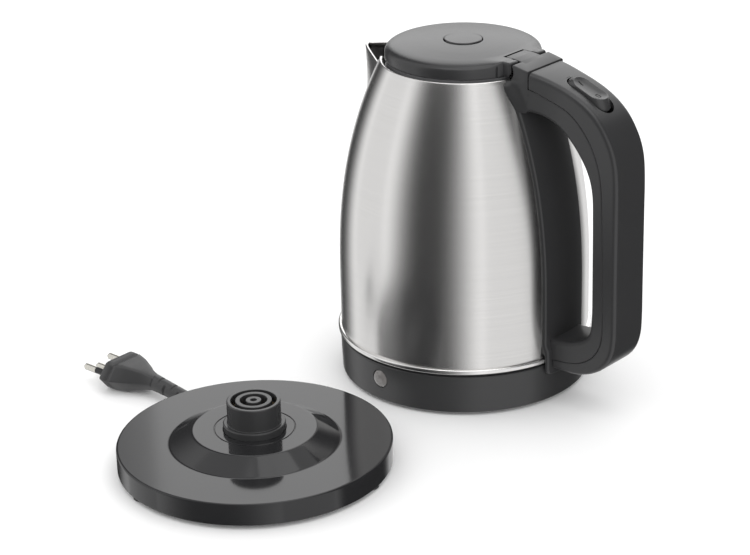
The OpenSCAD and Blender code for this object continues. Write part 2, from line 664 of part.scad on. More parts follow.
dome_steps = 21;
module lid_top() {
  color(dark) difference() {
    union() {
      difference() {
        rotate_extrude() polygon(concat([[well_r, lid_top_z - 0.3], [well_r + 0.3, lid_top_z - 0.1]],
          [for (k = [0:dome_steps]) on_curve(dome_line, (len(dome_line) - 1) * k / dome_steps)],
          [[lid_r, lid_low_z + 0.5], [lid_r - 0.15, lid_low_z + 0.15], [lid_r - 0.5, lid_low_z], [lid_r - 2.2, lid_low_z],
          [lid_r - 2.2, lid_top_z - 6.6], [lid_r - 4, lid_top_z - 5], [lid_r - 8, lid_top_z - 4.2],
          [well_r + 2, lid_top_z - 2.8], [well_r + 2, well_foot_z], [well_r, well_foot_z]]));
        translate([hinge_x, -block_half - 0.5, lid_low_z - 5]) cube([10, 2 * block_half + 1, lid_rise + 10]);
      }
      ears_form();
    }
    hinge_notch();
    for (s = [-1, 1]) translate([hinge_x, s * (tongue_half + 0.2), hinge_z]) rotate([-90 * s, 0, 0])
      cylinder(r = hinge_pin_r + turn_play, h = 15.5 - tongue_half - 0.2, $fn = 48);
    translate([0, 0, lid_low_z - 10]) cylinder(r = liner_r + 0.01, h = 10);
  }
}

latch_z = liner_z + 3.5;
latch_t = 1.4;
latch_half = 3.5;
module lid_liner() {
  color(grey) difference() {
    union() {
      rotate_extrude() polygon([[0, liner_z], [liner_r - 0.6, liner_z], [liner_r, liner_z + 0.6],
        [liner_r, liner_z + 1.1], [liner_r - 1.2, liner_z + 1.1], [liner_r - 1.2, liner_z + 3],
        [liner_r, liner_z + 3], [liner_r, lid_low_z], [liner_r - 2.2, lid_low_z],
        [liner_r - 2.2, liner_z + 1.4], [0, liner_z + 1.4]]);
      // rails that guide the latches
      for (s = [-1, 1], t = [-1, 1]) translate([t * (latch_half + 1.2) - 0.8, s * (liner_r - 15) - 10, liner_z + 1])
        cube([1.6, 20, latch_z + latch_t - liner_z - 1]);
    }
    for (s = [-1, 1]) translate([-latch_half - 0.4, s * (liner_r - 1) - 3, latch_z - 0.35])
      cube([2 * latch_half + 0.8, 6, latch_t + 0.7]);
    hinge_notch();
  }
}

module lid_seal() {
  color(rubber) rotate_extrude() polygon([[liner_r - 1.2, liner_z + 1.2], [liner_r + 0.6, liner_z + 1.6],
    [liner_r + 1, liner_z + 2.1], [liner_r + 0.6, liner_z + 2.5], [liner_r - 1.2, liner_z + 2.9]]);
}

module lid_button() {
  stem_z = liner_z + 1.4 + button_travel + 2.4;
  color(dark) rotate_extrude() polygon(rounded([[0, stem_z], [4.6, stem_z], [5, stem_z + 0.6], [5, button_top_z - 3],
    [button_r, button_top_z - 3], [button_r, button_top_z - 0.2, 0.7],
    [button_r - 3, button_top_z], [0, button_top_z + 0.1]]));
}

spring_turns = 5;
spring_low = liner_z + 1.4;
spring_high = button_top_z - 3;
spring_wire = 0.5;
function spring_ring(i, n) = let (a = 360 * spring_turns * i / n, r = 6.8,
    z = spring_low + spring_wire + (spring_high - spring_low - 2 * spring_wire) * i / n)
  [for (k = [0:5]) let (b = 60 * k) [(r + spring_wire * cos(b)) * cos(a), (r + spring_wire * cos(b)) * sin(a),
    z + spring_wire * sin(b)]];
module button_spring() {
  color(grey) loft([for (i = [0:60]) spring_ring(i, 60)]);
}

module latch(s) {
  color(grey) translate([0, 0, latch_z]) linear_extrude(latch_t) polygon([[-latch_half, s * 11], [latch_half, s * 11],
    [latch_half, s * (latch_reach - 2)], [latch_half - 1.5, s * latch_reach], [-latch_half + 1.5, s * latch_reach],
    [-latch_half, s * (latch_reach - 2)]]);
}
module latch_front() { latch(-1); }
module latch_rear() { latch(1); }

// ---------------------------------------------------------------- power base
module at_base() { translate([base_x, base_y, 0]) children(); }
plate_z = base_low_z + 0.4;
plate_sheet = 1.8;
base_screw_r = 28;
screw_turns = [30, 150, 270];
screw_seat_z = plate_z + 0.8;
plateau_z = base_top_z + mound_h;
tower_top_z = plateau_z + tower_h;
exit_y = plug_y - base_y;
// the way cut for the cord through the storage wall and the skirt
way_from = 3;
function beside(i, w) = let (t = heading(i)) [cord_path[i][0] - t[1] * w, cord_path[i][1] + t[0] * w];
module cord_way() {
  translate([0, 0, -1]) linear_extrude(turn_z + cord_r + 1.6) polygon(concat(
    [for (i = [way_from:n_cord - 1]) beside(i, cord_r + 0.6)],
    [for (i = [n_cord - 1:-1:way_from]) beside(i, -cord_r - 0.6)]));
}
module base_shell() {
  color(dark) at_base() difference() {
    union() {
      rotate_extrude() polygon(rounded([[base_r - base_wall, base_low_z], [base_r, base_low_z, 0.6],
        [base_r, base_top_z, 1], [mound_low_r, base_top_z, 2], [mound_top_r, plateau_z, 2.5], [23, plateau_z],
        [22.8, plateau_z - 0.4], [22.4, plateau_z - 0.4], [22.2, plateau_z], [collar_r + 0.2, plateau_z],
        [collar_r + 0.2, plateau_z - base_wall], [mound_top_r - 1, plateau_z - base_wall],
        [mound_low_r - 1, base_top_z - base_wall], [base_r - base_wall, base_top_z - base_wall]]));
      for (a = screw_turns) rotate([0, 0, a]) translate([base_screw_r, 0, plate_z + plate_sheet])
        cylinder(r = 3.5, h = plateau_z - base_wall / 2 - plate_z - plate_sheet, $fn = 32);
    }
    for (a = screw_turns) rotate([0, 0, a]) translate([base_screw_r, 0, plate_z]) cylinder(r = 1.4, h = 12, $fn = 24);
    cord_way();
  }
}

channel_in = turn_r - cord_r - 6.25;
channel_out = base_r - 11.3;
channel_top = turn_z + cord_r + 2.15;
module base_plate() {
  color(darker) at_base() difference() {
    union() {
      rotate_extrude() polygon([[0, plate_z], [channel_in, plate_z], [channel_in, channel_top],
        [channel_out, channel_top], [channel_out, plate_z], [base_r - base_wall - 0.2, plate_z],
        [base_r - base_wall - 0.2, plate_z + plate_sheet], [channel_out + plate_sheet, plate_z + plate_sheet],
        [channel_out + plate_sheet, channel_top + plate_sheet],
        [channel_in - plate_sheet, channel_top + plate_sheet],
        [channel_in - plate_sheet, plate_z + plate_sheet], [0, plate_z + plate_sheet]]);
      // tabs that hold the wound cord up
      for (a = [0, 90, 270]) rotate([0, 0, a]) translate([channel_in - 4, -5, plate_z - 1.3]) cube([13, 10, 1.31]);
    }
    for (a = screw_turns) rotate([0, 0, a]) translate([base_screw_r, 0, 0]) {
      cylinder(r = 1.7, h = 8, $fn = 24);
      cylinder(r = 3.2, h = screw_seat_z, $fn = 32);
    }
    cord_way();
  }
}

groove_half = 1.3;
module connector_tower() {
  color(darker) at_base() rotate_extrude() polygon(rounded([[0, plateau_z - 4], [collar_r + 3.4, plateau_z - 4],
    [collar_r + 3.4, plateau_z - base_wall], [collar_r, plateau_z - base_wall],
    [collar_r, plateau_z + collar_h, 0.8], [tower_r, plateau_z + collar_h], [tower_r, tower_top_z, 0.8],
    [outer_ring_r + groove_half, tower_top_z],
    [outer_ring_r + groove_half, tower_top_z - 13], [outer_ring_r - groove_half, tower_top_z - 13],
    [outer_ring_r - groove_half, tower_top_z - 0.4], [outer_ring_r - groove_half - 0.4, tower_top_z],
    [inner_ring_r + groove_half + 0.3, tower_top_z], [inner_ring_r + groove_half + 0.3, tower_top_z - 13],
    [inner_ring_r - groove_half - 0.3, tower_top_z - 13],
    [inner_ring_r - groove_half - 0.3, tower_top_z - 0.3], [inner_ring_r - groove_half - 0.6, tower_top_z],
    [1.8, tower_top_z], [1.8, tower_top_z - 13], [0, tower_top_z - 13]]));
}
module tower_lining(r, t) {
  color(brass) at_base() rotate_extrude() translate([r - t, tower_top_z - 13]) square([t, 7]);
}
module tower_outer_contact() { tower_lining(outer_ring_r + groove_half, 0.6); }
module tower_inner_contact() { tower_lining(inner_ring_r + groove_half + 0.3, 0.6); }
module tower_earth_contact() { tower_lining(1.8, 0.4); }

module base_feet() {
  color(rubber) at_base() for (a = [-106, 14, 134]) rotate([0, 0, a]) translate([base_r - pad_r - 0.5, 0, 0])
    rotate_extrude($fn = 40) polygon([[0, 0], [pad_r - 0.5, 0], [pad_r, 0.5], [pad_r, base_low_z],
      [pad_r - 2.1, base_low_z], [pad_r - 2.1, plate_z], [0, plate_z]]);
}

module base_screws() {
  color(grey) at_base() for (a = screw_turns) rotate([0, 0, a]) translate([base_screw_r, 0, screw_seat_z]) difference() {
    union() {
      translate([0, 0, -0.8]) cylinder(r = 2.8, h = 0.8, $fn = 32);
      cylinder(r = 1.4, h = 9, $fn = 24);
    }
    for (t = [0, 90]) rotate([0, 0, t]) translate([-1.5, -0.3, -1]) cube([3, 0.6, 0.7]);
  }
}

// ---------------------------------------------------------------- cord and plug
turn2_r = turn_r + 2 * cord_r - 0.1;
clamp_turn = 215;
module cord_clamp() {
  color(darker) at_base() rotate([0, 0, clamp_turn]) difference() {
    translate([channel_in, -5, plate_z]) cube([turn_r - channel_in - cord_r - 0.5, 10, channel_top - plate_z]);
    translate([channel_in + 3, -2.5, 1]) cylinder(r = 1.2, h = 3, $fn = 24);
  }
}

leave_turn = 118;
module cord_coil() {
  color(rubber) at_base() translate([0, 0, turn_z]) {
    rotate_extrude() translate([turn_r, 0]) circle(cord_r, $fn = 16);
    rotate([0, 0, 150]) rotate_extrude(angle = 360 + leave_turn - 150) translate([turn2_r, 0])
      circle(cord_r, $fn = 16);
  }
}

relief_tip = [-89, plug_y, 5.6];
cord_path = concat([[turn2_r * cos(leave_turn), turn2_r * sin(leave_turn), turn_z]],
  [[-33, 39.6, 5.6], [-42, 35.3, 5.6], [-51, 31.6, 5.6], [-60, 28.8, 5.6], [-68, 27.1, 5.6]],
  [[-75, exit_y, 5.6], [relief_tip[0] - base_x, exit_y, relief_tip[2]]]);
n_cord = len(cord_path);
function heading(i) = i == 0 ? [-sin(leave_turn), cos(leave_turn), 0]
  : i == n_cord - 1 ? unit([plug_x + relief_x - relief_tip[0], 0, plug_z - relief_tip[2]]) : unit(cord_path[i + 1] - cord_path[i - 1]);
function cord_ring(i) = let (t = heading(i), s = unit(cross(t, [0, 0, 1])), u = cross(s, t))
  [for (k = [0:11]) cord_path[i] + cord_r * (s * cos(30 * k) + u * sin(30 * k))];
module cord() {
  color(rubber) at_base() loft([for (i = [0:n_cord - 1]) cord_ring(i)]);
}

// a slice of the plug: flattened hexagon of half width w, half height h, at x
module plug_slab(x, w, h, t) {
  quarter = [[w, 0.6], [w - 0.4, 1.5], [w * 0.6 + 0.9, h - 0.9], [w * 0.6 - 0.6, h]];
  translate([plug_x + x, plug_y, plug_z]) rotate([90, 0, 90]) linear_extrude(t) polygon(concat(quarter,
    [for (i = [3:-1:0]) [-quarter[i][0], quarter[i][1]]], [for (p = quarter) [-p[0], -p[1]]],
    [for (i = [3:-1:0]) [quarter[i][0], -quarter[i][1]]]));
}
relief_x = 31;
module plug_body() {
  color(rubber) {
    plug_slab(0, plug_w / 2, 8.5, 5.8);
    plug_slab(5.7, plug_w / 2 - 0.8, 7.7, 1.2);
    hull() { plug_slab(6.8, plug_w / 2, 8.5, 0.2); plug_slab(15, plug_w / 2 - 3.4, 8.2, 0.2); }
    hull() { plug_slab(15, plug_w / 2 - 3.4, 8.2, 0.2); plug_slab(24, 7.5, 6.6, 0.2); }
    hull() { plug_slab(24, 7.5, 6.6, 0.2); plug_slab(relief_x, 5, 5, 0.2); }
    relief_from = [plug_x + relief_x, plug_y, plug_z];
    run = relief_tip - relief_from;
    translate(relief_from) rotate([0, 90 - atan2(run[2], run[0]), 0]) rotate_extrude()
      polygon([[0, -3], [5, -3], [5, 4], [4.2, 4], [4.2, 5.4], [4.9, 5.4], [4.8, 9.4], [4, 9.4], [4, 10.8],
        [4.7, 10.8], [4.6, 14.8], [3.9, 14.8], [3.9, 16.2], [4.5, 16.2], [4.4, 20.2], [3.8, 20.2],
        [3.8, 21.6], [4.3, 21.6], [4.1, norm(run)], [0, norm(run)]]);
  }
}

module at_pin(y, z) {
  translate([plug_x, plug_y + y, plug_z + z]) rotate([0, -90, 0]) children();
}
module plug_pins() {
  color(bright) {
    for (s = [-1, 1]) at_pin(s * pin_gap / 2, 0) rotate_extrude($fn = 32) polygon([[0, 0], [pin_r - 0.4, 0],
      [pin_r - 0.4, 9], [pin_r, 9], [pin_r, pin_len - 1], [pin_r - 0.8, pin_len], [0, pin_len]]);
    at_pin(0, -3) rotate_extrude($fn = 32) polygon([[0, 0], [pin_r, 0], [pin_r, pin_len - 1],
      [pin_r - 0.8, pin_len], [0, pin_len]]);
  }
}
module pin_sleeves() {
  color(rubber) for (s = [-1, 1]) at_pin(s * pin_gap / 2, 0) rotate_extrude($fn = 32)
    translate([pin_r - 0.4, 0]) square([0.4, 9]);
}

// ---------------------------------------------------------------- what is drawn
// the frame's origin lies on the floor in the middle of kettle and base together
handle_reach = body_r + max([for (p = outer_line) p[0]]);
module placed() {
  translate([-(base_x - base_r + handle_reach) / 2, -(base_y - base_r + trim_r) / 2, 0]) children();
}
placed() body_shell();
placed() spout();
placed() trim_ring();
placed() floor_plate();
placed() heat_spreader();
placed() heating_element();
placed() control_unit();
placed() socket_outer_ring();
placed() socket_inner_ring();
placed() socket_pin();
placed() foot_housing();
placed() bottom_cover();
placed() cover_screws();
placed() indicator_lens();
placed() indicator_lamp();
placed() handle_frame();
placed() handle_shell();
placed() handle_screws();
placed() switch_cup();
placed() rocker();
placed() steam_switch();
placed() bimetal_disc();
placed() trip_lever();
placed() hinge_pin();
placed() lid_top();
placed() lid_liner();
placed() lid_seal();
placed() lid_button();
placed() button_spring();
placed() latch_front();
placed() latch_rear();
placed() base_shell();
placed() base_plate();
placed() connector_tower();
placed() tower_outer_contact();
placed() tower_inner_contact();
placed() tower_earth_contact();
placed() base_feet();
placed() base_screws();
placed() cord_clamp();
placed() cord();
placed() cord_coil();
placed() plug_body();
placed() plug_pins();
placed() pin_sleeves();
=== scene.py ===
import bmesh
import bpy
import numpy as np
from mathutils import Matrix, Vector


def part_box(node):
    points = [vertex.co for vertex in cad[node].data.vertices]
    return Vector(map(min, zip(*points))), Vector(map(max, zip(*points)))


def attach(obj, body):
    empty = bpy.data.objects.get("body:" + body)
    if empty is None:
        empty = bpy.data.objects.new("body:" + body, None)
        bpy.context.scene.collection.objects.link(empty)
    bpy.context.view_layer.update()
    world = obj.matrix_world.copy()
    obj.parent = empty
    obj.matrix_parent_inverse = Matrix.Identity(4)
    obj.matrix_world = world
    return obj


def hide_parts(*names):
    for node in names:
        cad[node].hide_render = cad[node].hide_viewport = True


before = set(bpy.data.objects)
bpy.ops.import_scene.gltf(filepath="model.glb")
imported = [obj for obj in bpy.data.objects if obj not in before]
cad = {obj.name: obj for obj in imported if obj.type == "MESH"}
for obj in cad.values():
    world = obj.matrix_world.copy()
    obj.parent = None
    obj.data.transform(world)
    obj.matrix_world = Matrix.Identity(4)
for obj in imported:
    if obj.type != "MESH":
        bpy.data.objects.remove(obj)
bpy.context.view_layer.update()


# ---------------------- studio
# The kettle and its base stand on a white sweep, lit by the room and by four
# soft boxes. Three curved grey cards draw soft dark bands down the steel, and a
# bright one above lies in the gloss of lid and handle.
def middle_of(node):
    """The middle of a CAD node's box, in metres."""
    low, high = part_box(node)
    return np.array((low + high) / 2)


kettle_at = middle_of("trim_ring") * (1, 1, 0)
base_at = middle_of("base_shell") * (1, 1, 0)


def add_object(name, data):
    """A new object in the scene, at the origin."""
    thing = bpy.data.objects.new(name, data)
    bpy.context.scene.collection.objects.link(thing)
    return thing


camera_data = bpy.data.cameras.new("viewpoint")
camera_data.sensor_width = 36.0
camera_data.lens = 111.6
camera_data.shift_x = -0.1676
camera_data.shift_y = 0.0049
camera_data.clip_start = 0.05
camera_data.clip_end = 50
camera = add_object("viewpoint", camera_data)
camera_place = kettle_at + (0.8195, -1.0132, 0.6085)
camera_ahead = (-0.5665, 0.7250, -0.3917)


def turn_to(thing, place, direction, up=(0, 0, 1)):
    """Puts a camera or lamp at place with its -Z axis along direction."""
    ahead = np.array(direction, float) / np.linalg.norm(direction)
    side = np.cross(ahead, up)
    side /= np.linalg.norm(side)
    top = np.cross(side, ahead)
    rows = np.eye(4)
    rows[:3, 0], rows[:3, 1], rows[:3, 2], rows[:3, 3] = side, top, -ahead, place
    thing.matrix_world = Matrix(rows.tolist())


turn_to(camera, camera_place, camera_ahead)
bpy.context.scene.camera = camera
bpy.context.scene.view_settings.view_transform = "Standard"

# bearings are counted from the kettle's front, which lies at this one from +X, in degrees
front_bearing = -51
kettle_middle = kettle_at + (0, 0, 0.1)


def around(bearing, distance, height):
    """A place round the kettle: bearing in degrees to the right of its front."""
    angle = np.radians(front_bearing + bearing)
    return kettle_at + (distance * np.cos(angle), distance * np.sin(angle), height)


def soft_box(name, bearing, distance, height, width, tall, power):
    """A rectangular lamp that faces the kettle's middle."""
    lamp = bpy.data.lights.new(name, "AREA")
    lamp.shape = "RECTANGLE"
    lamp.size, lamp.size_y, lamp.energy = width, tall, power
    box = add_object(name, lamp)
    place = around(bearing, distance, height)
    turn_to(box, place, kettle_middle - place)
    return box


for side, bearing in (("right", 34), ("left", -88)):
    beside = soft_box("softbox_" + side, bearing, distance=1.6, height=0.85, width=1.2, tall=1.4, power=3)
    beside.visible_glossy = False
soft_box("softbox_back", 175, distance=1.9, height=1.3, width=2.9, tall=1.6, power=14)
soft_box("softbox_top", 60, distance=0.5, height=1.9, width=1.4, tall=1.4, power=6)


def wire(tree, pairs):
    """Joins sockets, given as (node, output, node, input)."""
    for start, out, end, into in pairs:
        tree.links.new(start.outputs[out], end.inputs[into])


def set_sockets(node, values):
    """Gives a node's inputs these values, by name or number."""
    for socket, value in values.items():
        node.inputs[socket].default_value = value


def add_node(tree, kind, values=None, **settings):
    """A new shader node, with settings such as its operation, and the values
    of its inputs."""
    node = tree.nodes.new("ShaderNode" + kind)
    for setting, value in settings.items():
        setattr(node, setting, value)
    set_sockets(node, values or {})
    return node


# white where it is seen, greyer in reflections, and a little brighter as light
room_in_gloss = 0.8
room = bpy.data.worlds.new("white_room")
bpy.context.scene.world = room
room.use_nodes = True
air = room.node_tree
air.nodes.clear()
ray = add_node(air, "LightPath")
seen = add_node(air, "Math", operation="MAXIMUM")
mirrored = add_node(air, "MapRange", {"To Min": 1.08, "To Max": room_in_gloss})
level = add_node(air, "MapRange", {"To Max": 1.0})
room_light = add_node(air, "Background", {"Color": (1, 1, 1, 1)})
room_out = add_node(air, "OutputWorld")
wire(air, [
    (ray, "Is Camera Ray", seen, 0), (ray, "Is Transmission Ray", seen, 1),
    (ray, "Is Glossy Ray", mirrored, "Value"), (mirrored, "Result", level, "To Min"),
    (seen, 0, level, "Value"), (level, "Result", room_light, "Strength"),
    (room_light, 0, room_out, 0)])


def grid_quads(rows, cols, round_rows, round_cols):
    """The quads between neighbouring points of a grid, as one array. A closed
    direction joins its last line of points to its first."""
    i = np.arange(rows if round_rows else rows - 1)[:, None]
    j = np.arange(cols if round_cols else cols - 1)[None, :]
    ii, jj = (i + 1) % rows, (j + 1) % cols
    return np.stack([i * cols + j, i * cols + jj, ii * cols + jj, ii * cols + j], -1).reshape(-1, 4)


merge_within = 2e-6


def skin(name, points, round_rows=False, round_cols=False, ends=False, tidy=True):
    """A smooth mesh over a grid of points (rows, columns, 3). ends closes the
    first and last rows with a flat cap. tidy merges points that meet, within
    merge_within, and turns the faces outwards."""
    rows, cols = points.shape[:2]
    quads = grid_quads(rows, cols, round_rows, round_cols).tolist()
    if ends:
        quads += [list(range(cols)), list(range((rows - 1) * cols, rows * cols))]
    mesh = bpy.data.meshes.new(name)
    mesh.from_pydata(points.reshape(-1, 3).tolist(), [], quads)
    if tidy:
        work = bmesh.new()
        work.from_mesh(mesh)
        bmesh.ops.remove_doubles(work, verts=work.verts, dist=merge_within)
        bmesh.ops.recalc_face_normals(work, faces=work.faces)
        work.to_mesh(mesh)
        work.free()
    mesh.shade_smooth()
    return add_object(name, mesh)


floor_width = 16.0
across = np.linspace(-floor_width / 2, floor_width / 2, 3)
floor = skin("floor", np.stack([*np.meshgrid(across, across), np.zeros((3, 3))], -1), tidy=False)
floor.location.z = -0.0003
floor.visible_glossy = False


def new_material(name, clear=False):
    """A material and its node tree, which is empty or holds the usual shader."""
    made = bpy.data.materials.new(name)
    made.use_nodes = True
    if clear:
        made.node_tree.nodes.clear()
    return made, made.node_tree


floor_paint, sweep = new_material("white_sweep", clear=True)
sweep_matt = add_node(sweep, "BsdfDiffuse", {"Color": (0.86, 0.86, 0.86, 1)})
sweep_glow = add_node(sweep, "Emission")
sweep_ray = add_node(sweep, "LightPath")
sweep_lift = add_node(sweep, "Math", {1: 0.04}, operation="MULTIPLY")
sweep_sum = add_node(sweep, "AddShader")
sweep_out = add_node(sweep, "OutputMaterial")
wire(sweep, [
    (sweep_ray, "Is Camera Ray", sweep_lift, 0), (sweep_lift, 0, sweep_glow, "Strength"),
    (sweep_matt, 0, sweep_sum, 0), (sweep_glow, 0, sweep_sum, 1), (sweep_sum, 0, sweep_out, 0)])
floor.data.materials.append(floor_paint)


def smooth_step(x, low, high):
    """0 below low, 1 above high, and an even S between them."""
    t = np.clip((x - low) / (high - low), 0, 1)
    return t * t * (3 - 2 * t)


def show_in_gloss(card, shade):
    """Lights the card by a strength for each of its points, and hides it from
    all but shiny surfaces."""
    card.data.attributes.new("shade", "FLOAT", "POINT").data.foreach_set("value", shade.ravel())
    card.visible_camera = card.visible_diffuse = card.visible_shadow = False
    card.visible_transmission = False
    paint, tree = new_material(card.name, clear=True)
    paint.cycles.emission_sampling = "NONE"
    level = add_node(tree, "Attribute", attribute_name="shade")
    glow = add_node(tree, "Emission")
    out = add_node(tree, "OutputMaterial")
    wire(tree, [(level, "Fac", glow, "Strength"), (glow, 0, out, 0)])
    card.data.materials.append(paint)


def shade_card(name, start, dark_from, dark_to, end, dark, lean=0, distance=1.3):
    """A tall curved card round the kettle. It is white at its start and end
    bearings and dark between the middle two, with an even S from one to the
    other as the eye sees it, which the power turns into light. The bearings
    are those at floor level and change by lean for each metre up."""
    eye_power = 2.2
    bearing = np.linspace(start, end, 61)
    darkness = smooth_step(bearing, start, dark_from) * (1 - smooth_step(bearing, dark_to, end))
    shade = (1 - (1 - dark) * darkness) ** eye_power
    height = np.linspace(-1.8, 2.6, 23)[:, None]
    angle = np.radians(front_bearing + bearing + lean * height)
    points = np.stack([distance * np.cos(angle), distance * np.sin(angle), height + 0 * angle], -1)
    show_in_gloss(skin(name, points + kettle_at, tidy=False), np.tile(shade, len(height)))


def bright_card(name, start, end, low, high, strength, distance=1.2, edge=15):
    """A patch of a sphere over the kettle, between two bearings and two
    elevations. It is as bright as the room at its edges and brighter by
    strength in its middle, with an even S between them."""
    bearing, rise = np.meshgrid(np.linspace(start, end, 41), np.linspace(low, high, 21), indexing="ij")
    fade = (high - low) / 4
    upwards = smooth_step(rise, low, low + fade) * (1 - smooth_step(rise, high - fade, high))
    across = smooth_step(bearing, start, start + edge) * (1 - smooth_step(bearing, end - edge, end))
    shade = room_in_gloss + strength * (upwards * across)
    angle, tilt = np.radians(front_bearing + bearing), np.radians(rise)
    points = np.stack([np.cos(tilt) * np.cos(angle), np.cos(tilt) * np.sin(angle), np.sin(tilt)], -1)
    show_in_gloss(skin(name, kettle_at + (0, 0, 0.15) + distance * points, tidy=False), shade)


shade_card("card_front", start=-78, dark_from=-38, dark_to=-27, end=18, dark=0.26)
shade_card("card_side", start=52, dark_from=66, dark_to=118, end=143, dark=0.2, lean=-16)
shade_card("card_left", start=-163, dark_from=-154, dark_to=-146, end=-114, dark=0.24)
bright_card("card_over", start=-75, end=75, low=52, high=84, strength=1)

# ---------------------- mains cord
# A black PVC lead, 6.5 mm thick. Two turns are stored round the hub under the
# base; the free end leaves through the skirt and runs into the plug's sleeve.
def plastic(name, colour, roughness, grain=0.0, grain_size=900.0, coat=0.0, mottle=0.08, specular=0.5):
    """A moulded plastic: its colour drifts slightly, and a fine grain breaks
    its gloss. Returns the material."""
    made, shader = surfaced(name, moulded_grain(), {
        "Colour": (*colour, 1), "Mottle": mottle, "Roughness": roughness,
        "Grain Size": grain_size, "Grain Height": grain}, 0.0002)
    set_sockets(shader, {"Coat Weight": coat, "Coat Roughness": 0.03, "Specular IOR Level": specular})
    return made


def surfaced(name, group, values, depth):
    """A material whose colour, gloss and bumps of this depth come from a group
    with these values. Returns it and its shader."""
    made, tree = new_material(name)
    shader = tree.nodes["Principled BSDF"]
    effect = add_node(tree, "Group", values, node_tree=group)
    bump = add_node(tree, "Bump", {"Distance": depth})
    where = add_node(tree, "TexCoord")
    wire(tree, [
        (where, "Object", effect, "Place"), (effect, "Colour", shader, "Base Color"),
        (effect, "Roughness", shader, "Roughness"), (effect, "Height", bump, "Height"),
        (bump, "Normal", shader, "Normal")])
    return made, shader


def new_group(name, inputs, outputs):
    """An empty shader node group with named sockets, and its two end nodes."""
    group = bpy.data.node_groups.new(name, "ShaderNodeTree")
    for label, kind, value in inputs:
        socket = group.interface.new_socket(label, in_out="INPUT", socket_type=kind)
        if value is not None:
            socket.default_value = value
    for label, kind in outputs:
        group.interface.new_socket(label, in_out="OUTPUT", socket_type=kind)
    return group, group.nodes.new("NodeGroupInput"), group.nodes.new("NodeGroupOutput")


def moulded_grain():
    """The group behind every moulded plastic, built once: slow drift in colour
    and gloss, and a fine pebbled height."""
    found = bpy.data.node_groups.get("moulded_grain")
    if found:
        return found
    group, given, result = new_group(
        "moulded_grain",
        [("Place", "NodeSocketVector", None), ("Colour", "NodeSocketColor", (0.05, 0.05, 0.05, 1)),
         ("Mottle", "NodeSocketFloat", 0.1), ("Roughness", "NodeSocketFloat", 0.4),
         ("Grain Size", "NodeSocketFloat", 900.0), ("Grain Height", "NodeSocketFloat", 0.1)],
        [("Colour", "NodeSocketColor"), ("Roughness", "NodeSocketFloat"), ("Height", "NodeSocketFloat")])
    drift = add_node(group, "TexNoise", {"Scale": 38, "Detail": 3})
    pebble = add_node(group, "TexNoise", {"Detail": 2})
    wire(group, [(given, "Place", drift, "Vector"), (given, "Place", pebble, "Vector"),
                 (given, "Grain Size", pebble, "Scale")])
    vary(group, given, result, drift, "Mottle", pebble, "Grain Height")
    return group


def vary(group, given, result, drift, amount, relief, relief_height):
    """Inside a group: one noise raises and lowers the given colour and
    roughness by the amount, and another makes the height."""
    even = add_node(group, "Math", {1: 0.5}, operation="SUBTRACT")
    scaled = add_node(group, "Math", operation="MULTIPLY")
    about_one = add_node(group, "Math", {1: 1.0}, operation="ADD")
    tint = add_node(group, "VectorMath", operation="SCALE")
    duller = add_node(group, "Math", operation="MULTIPLY")
    height = add_node(group, "Math", operation="MULTIPLY")
    wire(group, [
        (drift, 0, even, 0), (even, 0, scaled, 0), (given, amount, scaled, 1), (scaled, 0, about_one, 0),
        (given, "Colour", tint, 0), (about_one, 0, tint, "Scale"), (tint, 0, result, "Colour"),
        (given, "Roughness", duller, 0), (about_one, 0, duller, 1), (duller, 0, result, "Roughness"),
        (relief, 0, height, 0), (given, relief_height, height, 1), (height, 0, result, "Height")])


def directions(path, first_side=(0, 0, 1)):
    """Along, sideways and upwards unit vectors at each point of a path, with
    the sideways one square to the path and to first_side."""
    along = np.gradient(path, axis=0)
    along /= np.linalg.norm(along, axis=1)[:, None]
    side = np.cross(along, first_side)
    side /= np.linalg.norm(side, axis=1)[:, None]
    return along, side, np.cross(side, along)


def tube(name, path, radius, sides=20):
    """A round tube: at each point of the path, a ring of the given radius
    square to it. radius is one number, or one for each point and side."""
    along, side, up = directions(path)
    turn = np.linspace(0, 2 * np.pi, sides, endpoint=False)
    reach = np.broadcast_to(radius, (len(path), sides))[..., None]
    rings = path[:, None] + reach * (side[:, None] * np.cos(turn)[None, :, None]
                                     + up[:, None] * np.sin(turn)[None, :, None])
    return skin(name, rings, round_cols=True, ends=True)


def along_curve(points, t):
    """A Catmull-Rom curve through the points, at t counted in points."""
    p = np.vstack([2 * points[0] - points[1], points, 2 * points[-1] - points[-2]])
    i = np.clip(t.astype(int), 0, len(points) - 2)
    s = (t - i)[:, None]
    a, b, c, d = p[i], p[i + 1], p[i + 2], p[i + 3]
    return 0.5 * (2 * b + (c - a) * s + (2 * a - 5 * b + 4 * c - d) * s ** 2
                  + (3 * b - a - 3 * c + d) * s ** 3)


def even_path(points, step, parts=24):
    """The curve through the points, worked out at so many parts between each
    two of them and measured along, with a point at every even step."""
    curve = along_curve(points, np.arange(parts * (len(points) - 1) + 1) / parts)
    run = np.concatenate([[0], np.cumsum(np.linalg.norm(np.diff(curve, axis=0), axis=1))])
    marks = np.linspace(0, run[-1], int(run[-1] / step) + 2)
    return np.stack([np.interp(marks, run, curve[:, k]) for k in range(3)], -1)


